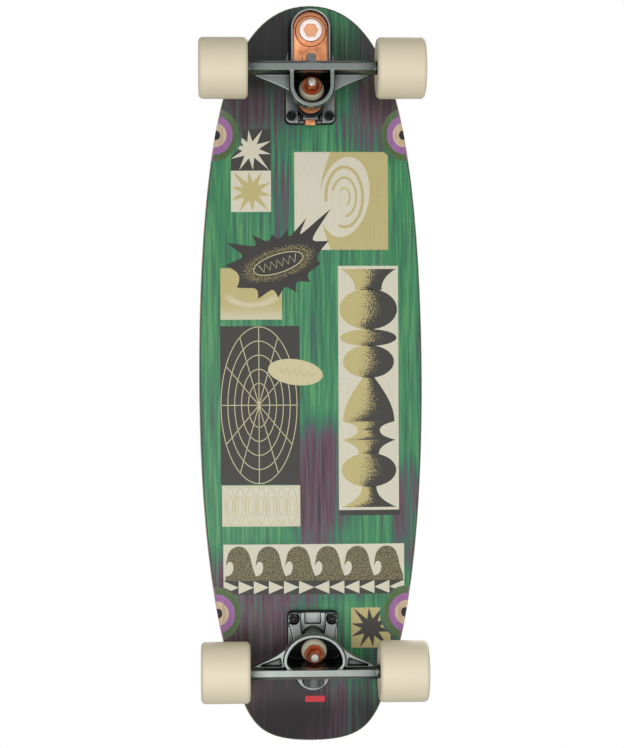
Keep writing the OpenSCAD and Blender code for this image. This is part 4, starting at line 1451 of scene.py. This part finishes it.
    def label(self) -> None:
        """Plain red patch on the tail."""
        self.plate("tail_patch", [rectangle((-7.8, 349.2), (13.2, 355.8))], RED_INK, 3)


# ---------------------------------------------------------------- sub-assemblies


@dataclass
class Deck:
    """The pressed deck: seven veneers, grip tape and print."""

    workshop: Workshop
    streaks: Streaks = Streaks("streak_print", paint(60, 130, 95))
    maple: Veneer = Veneer("maple_veneer", paint(228, 203, 172))
    purple: Veneer = Veneer(
        "purple_veneer", paint(172, 118, 176), grain=paint(128, 74, 134), ledge=paint(44, 84, 62)
    )
    black: Veneer = Veneer("black_veneer", paint(40, 37, 38), grain=paint(22, 20, 21))
    grip: GripTape = GripTape("grip_tape_grit", paint(26, 26, 27))

    def build(self) -> None:
        """Makes the veneers and the tape, then the print."""
        layers = (
            (self.streaks, "veneer_green"),
            (self.purple, "veneer_purple"),
            (self.maple, "veneer_maple"),
            (self.black, "veneer_black"),
            (self.maple, "veneer_maple"),
            (self.purple, "veneer_purple"),
            (self.maple, "veneer_maple"),
        )
        for number, (finish, slot) in enumerate(layers, start=1):
            self.workshop.remake(f"ply_{number}", Maker.VENEER, finish, slot)
        self.workshop.remake("grip_tape", Maker.VENEER, self.grip, "grip")
        ground = BVHTree.FromBMesh(merged_shape(self.workshop.nodes["ply_1"]))
        DeckPrint(self.workshop, ground).build()


@dataclass
class Hardware:
    """Bases, arm, hangers and all the small metal and rubber parts of both trucks."""

    workshop: Workshop
    # All three castings carry painted shade in their recesses and a painted highlight on their edges.
    grey: Casting = Casting("grey_casting", paint(136, 142, 139))
    base: Casting = Casting("base_casting", paint(150, 156, 153), rough=0.24, recess_shade=0.74)
    dark: Casting = Casting(
        "dark_casting", paint(44, 47, 47), rubbed_and_highlight=paint(196, 200, 198), rough=0.24, recess_shade=0.6
    )
    copper: Plating = Plating("copper_plating", paint(222, 150, 108), worn=paint(168, 96, 60))
    cup_copper: Plating = Plating("cup_copper", paint(178, 104, 70), worn=paint(112, 54, 30), wear=0.6)
    bright: Plating = Plating("bright_plating", paint(226, 222, 216))
    rose: Plating = Plating("rose_plating", paint(255, 242, 238), worn=paint(232, 206, 198))
    spring: Plating = Plating("spring_wire", paint(128, 130, 132), rough=0.34)
    bronze: Plating = Plating("bronze_bush", paint(176, 136, 84), rough=0.38)
    black: BlackSteel = BlackSteel("black_oxide", paint(20, 20, 22))
    riser: Moulding = Moulding("riser_rubber", paint(24, 24, 25), rough=0.72)
    pivot: Moulding = Moulding("pivot_moulding", paint(214, 210, 196), rough=0.5)
    bushing: Urethane = Urethane("bushing_urethane", paint(250, 241, 212))
    hex_copper: Plating = Plating("hex_copper", paint(240, 176, 132), wear=0.1)
    rim_band: float = 0.7 * MM  # how much of the arm's rim is polished
    rim_h: float = 4 * MM  # how far the arm's rim stands out over its floor
    hex_r: float = 7.9 * MM
    hex_h: float = 1 * MM
    hex_deep: float = 5.4 * MM
    hex_edge: float = 0.3 * MM
    ring_r: float = 15.2 * MM
    ring_half: float = 1.7 * MM
    ring_rise: float = 1.6 * MM
    ring_root: float = 1 * MM
    cap_y: float = -293.5 * MM
    cap_r: float = 13.4 * MM
    cap_w: float = 5.5 * MM
    cap_rise: float = 0.3 * MM
    cap_root: float = 0.1 * MM
    turn_steps: int = 72

    def build(self) -> None:
        """Finishes every truck part."""
        shop = self.workshop
        for node in ("front_hanger", "rear_hanger"):
            shop.remake(node, Maker.CAST, self.grey, "grey_casting", 0.6)
        for node in ("front_base", "rear_base"):
            shop.remake(node, Maker.CAST, self.base, "dark_casting", 0.6)
        arm = replace(self.dark, rim_z=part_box("swivel_arm")[0].z + self.rim_band)
        shop.remake("swivel_arm", Maker.CAST, arm, "dark_casting", 0.6)
        for node in ("front_riser", "rear_riser"):
            shop.remake(node, Maker.MACHINED, self.riser, "riser", 0.5)
        for node in ("arm_cover", "spring_adjuster"):
            shop.remake(node, Maker.MACHINED, self.copper, "copper_finish", 0.5)
        shop.remake("swivel_bolt", Maker.MACHINED, self.rose, "bright_steel", 0.6)
        shop.remake("pivot_cap_screw", Maker.MACHINED, self.spring, "bright_steel", 0.4)
        for node in ("swivel_lock_nut", "swivel_thrust_washer"):
            shop.remake(node, Maker.MACHINED, self.bright, "bright_steel", 0.3)
        shop.remake("swivel_bush", Maker.MACHINED, self.bronze, "bronze", 0.25)
        shop.remake("centring_spring", Maker.VENEER, self.spring, "spring_steel")
        self.socket_disc()
        self.cover_ring()
        self.tail_cap()
        for end in ENDS:
            self.end(end)

    def socket_disc(self) -> None:
        """Adds the six-sided copper disc at the bottom of the swivel bolt's socket."""
        low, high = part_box("swivel_bolt")
        middle = ((low.x + high.x) / 2, (low.y + high.y) / 2, low.z + self.hex_deep)
        shape = bmesh.new()
        bmesh.ops.create_cone(
            shape, cap_ends=True, segments=6, radius1=self.hex_r, radius2=self.hex_r, depth=self.hex_h
        )
        placed = Matrix.Translation(middle) @ Matrix.Rotation(math.radians(30), 4, "Z")
        bmesh.ops.transform(shape, matrix=placed, verts=shape.verts)
        bmesh.ops.bevel(
            shape,
            geom=shape.edges[:],
            offset=self.hex_edge,
            affect="EDGES",
            segments=2,
            profile=0.5,
            material=-1,
        )
        piece = piece_from(shape, "socket_disc")
        self.workshop.settle(piece, self.workshop.bodies["swivel_bolt"], "copper_finish", self.hex_copper)

    def cover_ring(self) -> None:
        """Adds the rolled ring round the swivel bolt's head, on the arm's cover."""
        bolt = sum(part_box("swivel_bolt"), Vector()) / 2
        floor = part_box("swivel_arm")[0].z + self.rim_h
        inner, outer = self.ring_r - self.ring_half, self.ring_r + self.ring_half
        wall = [
            (self.ring_r + self.ring_half * math.cos(a), floor - self.ring_rise * math.sin(a))
            for a in arc(0, math.pi, 10)
        ]
        wall += [(inner, floor + self.ring_root), (outer, floor + self.ring_root)]
        shape = self._turned(wall, bolt, 2 * math.pi)
        piece = piece_from(shape, "cover_ring")
        smooth_by_angle(piece, 50)
        self.workshop.settle(piece, self.workshop.bodies["arm_cover"], "copper_finish", self.copper)

    def tail_cap(self) -> None:
        """Adds the copper crescent round the end of the arm's tail."""
        arm = BVHTree.FromBMesh(merged_shape(self.workshop.nodes["swivel_arm"]))
        middle = Vector((0.0, self.cap_y, 0.0))
        probe = middle + Vector((0.1 * MM, self.cap_r - 1 * MM, 0))
        face = arm.ray_cast(probe, Vector((0, 0, 1)))[0].z
        inner = self.cap_r - self.cap_w
        top, root = face - self.cap_rise, face + self.cap_root
        wall = [(self.cap_r, root), (self.cap_r, top), (inner, top), (inner, root)]
        shape = self._turned(wall, middle, math.pi)
        bmesh.ops.holes_fill(shape, edges=[e for e in shape.edges if e.is_boundary], sides=8)
        bmesh.ops.recalc_face_normals(shape, faces=shape.faces)
        piece = piece_from(shape, "tail_cap")
        smooth_by_angle(piece, 30)
        self.workshop.settle(piece, self.workshop.bodies["swivel_arm"], "copper_finish", self.copper)

    def _turned(self, wall: Sequence[Point], middle: Vector, angle: float) -> bmesh.types.BMesh:
        """Turns a closed wall section about the vertical through a place.

        Args:
            wall: Distance from the axis and height of each corner of the section.
            middle: The place.
            angle: How far the section turns; a whole turn closes on itself.

        Returns:
            The shape.
        """
        shape = bmesh.new()
        start = [shape.verts.new((middle.x + r, middle.y, z)) for r, z in wall]
        edges = [shape.edges.new((start[index - 1], start[index])) for index in range(len(start))]
        bmesh.ops.spin(
            shape,
            geom=[*start, *edges],
            cent=middle,
            axis=(0, 0, 1),
            angle=angle,
            steps=self.turn_steps,
            use_merge=angle == 2 * math.pi,
        )
        bmesh.ops.recalc_face_normals(shape, faces=shape.faces)
        return shape

    def end(self, end: str) -> None:
        """Finishes the parts that both trucks have.

        Args:
            end: Which truck, front or rear.
        """
        shop = self.workshop
        for part in ("deck_bolts", "deck_nuts"):
            shop.remake(f"{end}_{part}", Maker.MACHINED, self.black, "black_steel", 0.3)
        for part in ("kingpin", "axle", "axle_nuts", "axle_spacers", "inner_races"):
            shop.remake(f"{end}_{part}", Maker.MACHINED, self.bright, "bright_steel", 0.25)
        for part in ("kingpin_nut", "cup_washers"):
            shop.remake(f"{end}_{part}", Maker.MACHINED, self.cup_copper, "copper_finish", 0.4)
        shop.remake(f"{end}_pivot_cup", Maker.MACHINED, self.pivot, "pivot_plastic", 0.4)
        for part in ("board_bushing", "road_bushing"):
            shop.remake(f"{end}_{part}", Maker.MACHINED, self.bushing, "bushing_rubber", 0.8)


@dataclass
class Wheel:
    """One urethane wheel with its two bearings, turned about its own axle."""

    workshop: Workshop
    end: str
    side: str
    urethane: Urethane = Urethane("wheel_urethane", paint(242, 230, 200), dust=paint(214, 201, 170))
    steel: Plating = Plating("race_steel", paint(200, 200, 198), rough=0.2)
    lip: float = 5 * MM
    dish: float = 24 * MM
    seat: float = 13.5 * MM
    seat_radius: float = 11.02 * MM
    core_radius: float = 9 * MM
    core_half: float = 5 * MM
    throat: float = 13 * MM
    dish_edge: float = 1.5 * MM
    turn_steps: int = 144

    @cached_property
    def name(self) -> str:
        """The wheel's name, such as front_left."""
        return f"{self.end}_{self.side}"

    def build(self) -> None:
        """Spins the tyre and finishes the outer races."""
        low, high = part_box(f"{self.name}_tyre")
        middle = (low + high) / 2
        half = (high.x - low.x) / 2
        radius = (high.z - low.z) / 2
        flank = [
            (self.core_half, self.core_radius),
            (self.core_half, self.seat_radius),
            (self.seat, self.seat_radius),
            (self.seat, self.throat),
            (half, self.dish),
            (half, radius),
        ]
        corners = [(-x, r) for x, r in flank] + flank[::-1]
        shape = bmesh.new()
        ring = [shape.verts.new((middle.x + x, middle.y, middle.z + r)) for x, r in corners]
        for index, vertex in enumerate(ring):
            shape.edges.new((vertex, ring[(index + 1) % len(ring)]))
        dish_corners, lip_corners = [ring[4], ring[7]], [ring[5], ring[6]]
        self._round(shape, lip_corners, self.lip, 8)
        self._round(shape, dish_corners, self.dish_edge, 4)
        bmesh.ops.spin(
            shape,
            geom=[*shape.verts, *shape.edges],
            cent=middle,
            axis=(1, 0, 0),
            angle=2 * math.pi,
            steps=self.turn_steps,
            use_merge=True,
        )
        bmesh.ops.remove_doubles(shape, verts=shape.verts, dist=SAME)
        bmesh.ops.recalc_face_normals(shape, faces=shape.faces)
        tyre = piece_from(shape, f"{self.name}_urethane")
        smooth_by_angle(tyre, 30)
        body = f"{self.name}_wheel"
        self.workshop.settle(tyre, body, "wheel_urethane", self.urethane, stands_for=f"{self.name}_tyre")
        self.workshop.remake(f"{self.name}_outer_races", Maker.MACHINED, self.steel, "bearing_steel", 0.2)

    @staticmethod
    def _round(
        shape: bmesh.types.BMesh, corners: list[bmesh.types.BMVert], reach: float, segments: int
    ) -> None:
        """Rounds corners of the profile.

        Args:
            shape: The shape with the profile.
            corners: The corners.
            reach: How far from each corner the round starts, in metres.
            segments: How many edges make up each round.
        """
        bmesh.ops.bevel(
            shape,
            geom=corners,
            offset=reach,
            offset_type="OFFSET",
            affect="VERTICES",
            segments=segments,
            profile=0.5,
            material=-1,
        )


# ---------------------------------------------------------------- studio


@dataclass
class Studio:
    """Floor, light and camera. The camera looks up at the printed underside from almost straight below."""

    distance: float = 2.3
    eye_side: float = -0.09
    view_height: float = 810.832 * MM  # how much of the deck's plane the frame is high
    sensor: float = 36.0
    floor_gap: float = 0.4 * MM
    floor_half: float = 20.0
    roll: float = math.radians(0.27)
    aim_x: float = 1.0 * MM
    lit_z: float = 80 * MM
    lamps: tuple[tuple[str, Triple, float, float], ...] = (
        ("key", (-0.5, 0.40, -1.6), 1.0, 8.0),
        ("fill", (0.9, 0.30, -1.5), 1.2, 4.2),
        ("top", (0.6, -0.7, 1.8), 1.6, 22.0),
    )
    sky: tuple[Point, ...] = ((0.0, 0.95), (0.12, 0.62), (0.3, 0.16), (0.5, 0.22), (0.75, 0.5), (1.0, 0.7))

    def build(self) -> None:
        """Builds the studio."""
        self.floor()
        self.world()
        for name, place, size, power in self.lamps:
            self.lamp(name, place, size, power)
        self.camera()

    def floor(self) -> None:
        """A pale floor that the camera sees from above and that lets the light below it through."""
        shape = bmesh.new()
        bmesh.ops.create_grid(shape, x_segments=1, y_segments=1, size=self.floor_half)
        bmesh.ops.translate(shape, verts=shape.verts, vec=(0, 0, -self.floor_gap))
        floor = piece_from(shape, "studio_floor")
        shader = Shader(bpy.data.materials.new("studio_floor"))
        colour = {"Base Color": paint(236, 235, 232), "Roughness": 0.8}
        pale = shader.node("ShaderNodeBsdfPrincipled", None, colour)
        below = shader.node("ShaderNodeNewGeometry", output="Backfacing")
        clear = shader.node("ShaderNodeBsdfTransparent")
        mixed = shader.node("ShaderNodeMixShader", None, {0: below, 1: pale, 2: clear})
        floor.data.materials.append(shader.shown(mixed, "ShaderNodeOutputMaterial"))
        for ray in ("visible_diffuse", "visible_glossy", "visible_transmission", "visible_shadow"):
            setattr(floor, ray, False)

    def world(self) -> None:
        """Even white surroundings: bright to the camera, softer as light."""
        shader = Shader(bpy.data.worlds.new("studio"))
        up = shader.axes(shader.node("ShaderNodeTexCoord", output="Generated"))[2]
        height = shader.node("ShaderNodeMapRange", None, {"Value": up, "From Min": -1.0})
        light = shader.ramp(height, [(at, (level, level, level, 1.0)) for at, level in self.sky])
        seen = shader.node("ShaderNodeLightPath", output="Is Camera Ray")
        strength = shader.node("ShaderNodeMix", None, {0: seen, 2: light, 3: 1.0})
        white = (1.0, 1.0, 1.0, 1.0)
        shaded = shader.node("ShaderNodeBackground", None, {"Color": white, "Strength": strength})
        bpy.context.scene.world = shader.shown(shaded, "ShaderNodeOutputWorld")
        bpy.context.scene.view_settings.view_transform = "Standard"

    def lamp(self, name: str, place: Triple, size: float, power: float) -> None:
        """A square soft lamp that faces the middle of the board.

        Args:
            name: The lamp's name.
            place: Where it hangs.
            size: Side of its square.
            power: Its power, in watts.
        """
        light = bpy.data.lights.new(name, "AREA")
        light.size = size
        light.energy = power
        lamp = bpy.data.objects.new(name, light)
        bpy.context.scene.collection.objects.link(lamp)
        lamp.location = place
        lamp.rotation_mode = "QUATERNION"
        lamp.rotation_quaternion = (Vector((0, 0, self.lit_z)) - Vector(place)).to_track_quat("-Z", "Y")
        lamp.visible_camera = False

    def camera(self) -> None:
        """The camera, a little to the left of the board's middle, with the nose at the top of its frame."""
        deck_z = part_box("ply_1")[0].z
        target = Vector((self.aim_x, 0.0, deck_z))
        eye = Vector((self.eye_side, 0.0, deck_z - self.distance))
        ahead = (target - eye).normalized()
        up = Matrix.Rotation(self.roll, 3, ahead) @ Vector((0, -1, 0))
        right = ahead.cross(up).normalized()
        up = right.cross(ahead)
        lens = bpy.data.cameras.new("camera")
        lens.sensor_width = self.sensor
        lens.lens = self.distance * self.sensor / self.view_height
        camera = bpy.data.objects.new("camera", lens)
        bpy.context.scene.collection.objects.link(camera)
        turn = Matrix((right, up, -ahead)).transposed()
        camera.matrix_world = Matrix.Translation(eye) @ turn.to_4x4()
        bpy.context.scene.camera = camera
        log.info("camera with a %.0f mm lens", lens.lens)


# ---------------------------------------------------------------- main


def corners(bounds: tuple[Vector, Vector]) -> list[list[float]]:
    """A box as plain lists of numbers."""
    return [list(map(float, corner)) for corner in bounds]


def main() -> None:
    """Builds the looks round the frame, in order."""
    logging.basicConfig(level=logging.INFO, format="%(name)s: %(message)s")
    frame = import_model()
    bodies = {node: body for body, nodes in frame["record"]["behaviour"]["bodies"].items() for node in nodes}
    workshop = Workshop(frame["nodes"], bodies)
    Studio().build()
    Deck(workshop).build()
    Hardware(workshop).build()
    for end in ENDS:
        for side in SIDES:
            Wheel(workshop, end, side).build()
    log.info("%d pieces made", workshop.made)


if __name__ == "__main__":
    main()
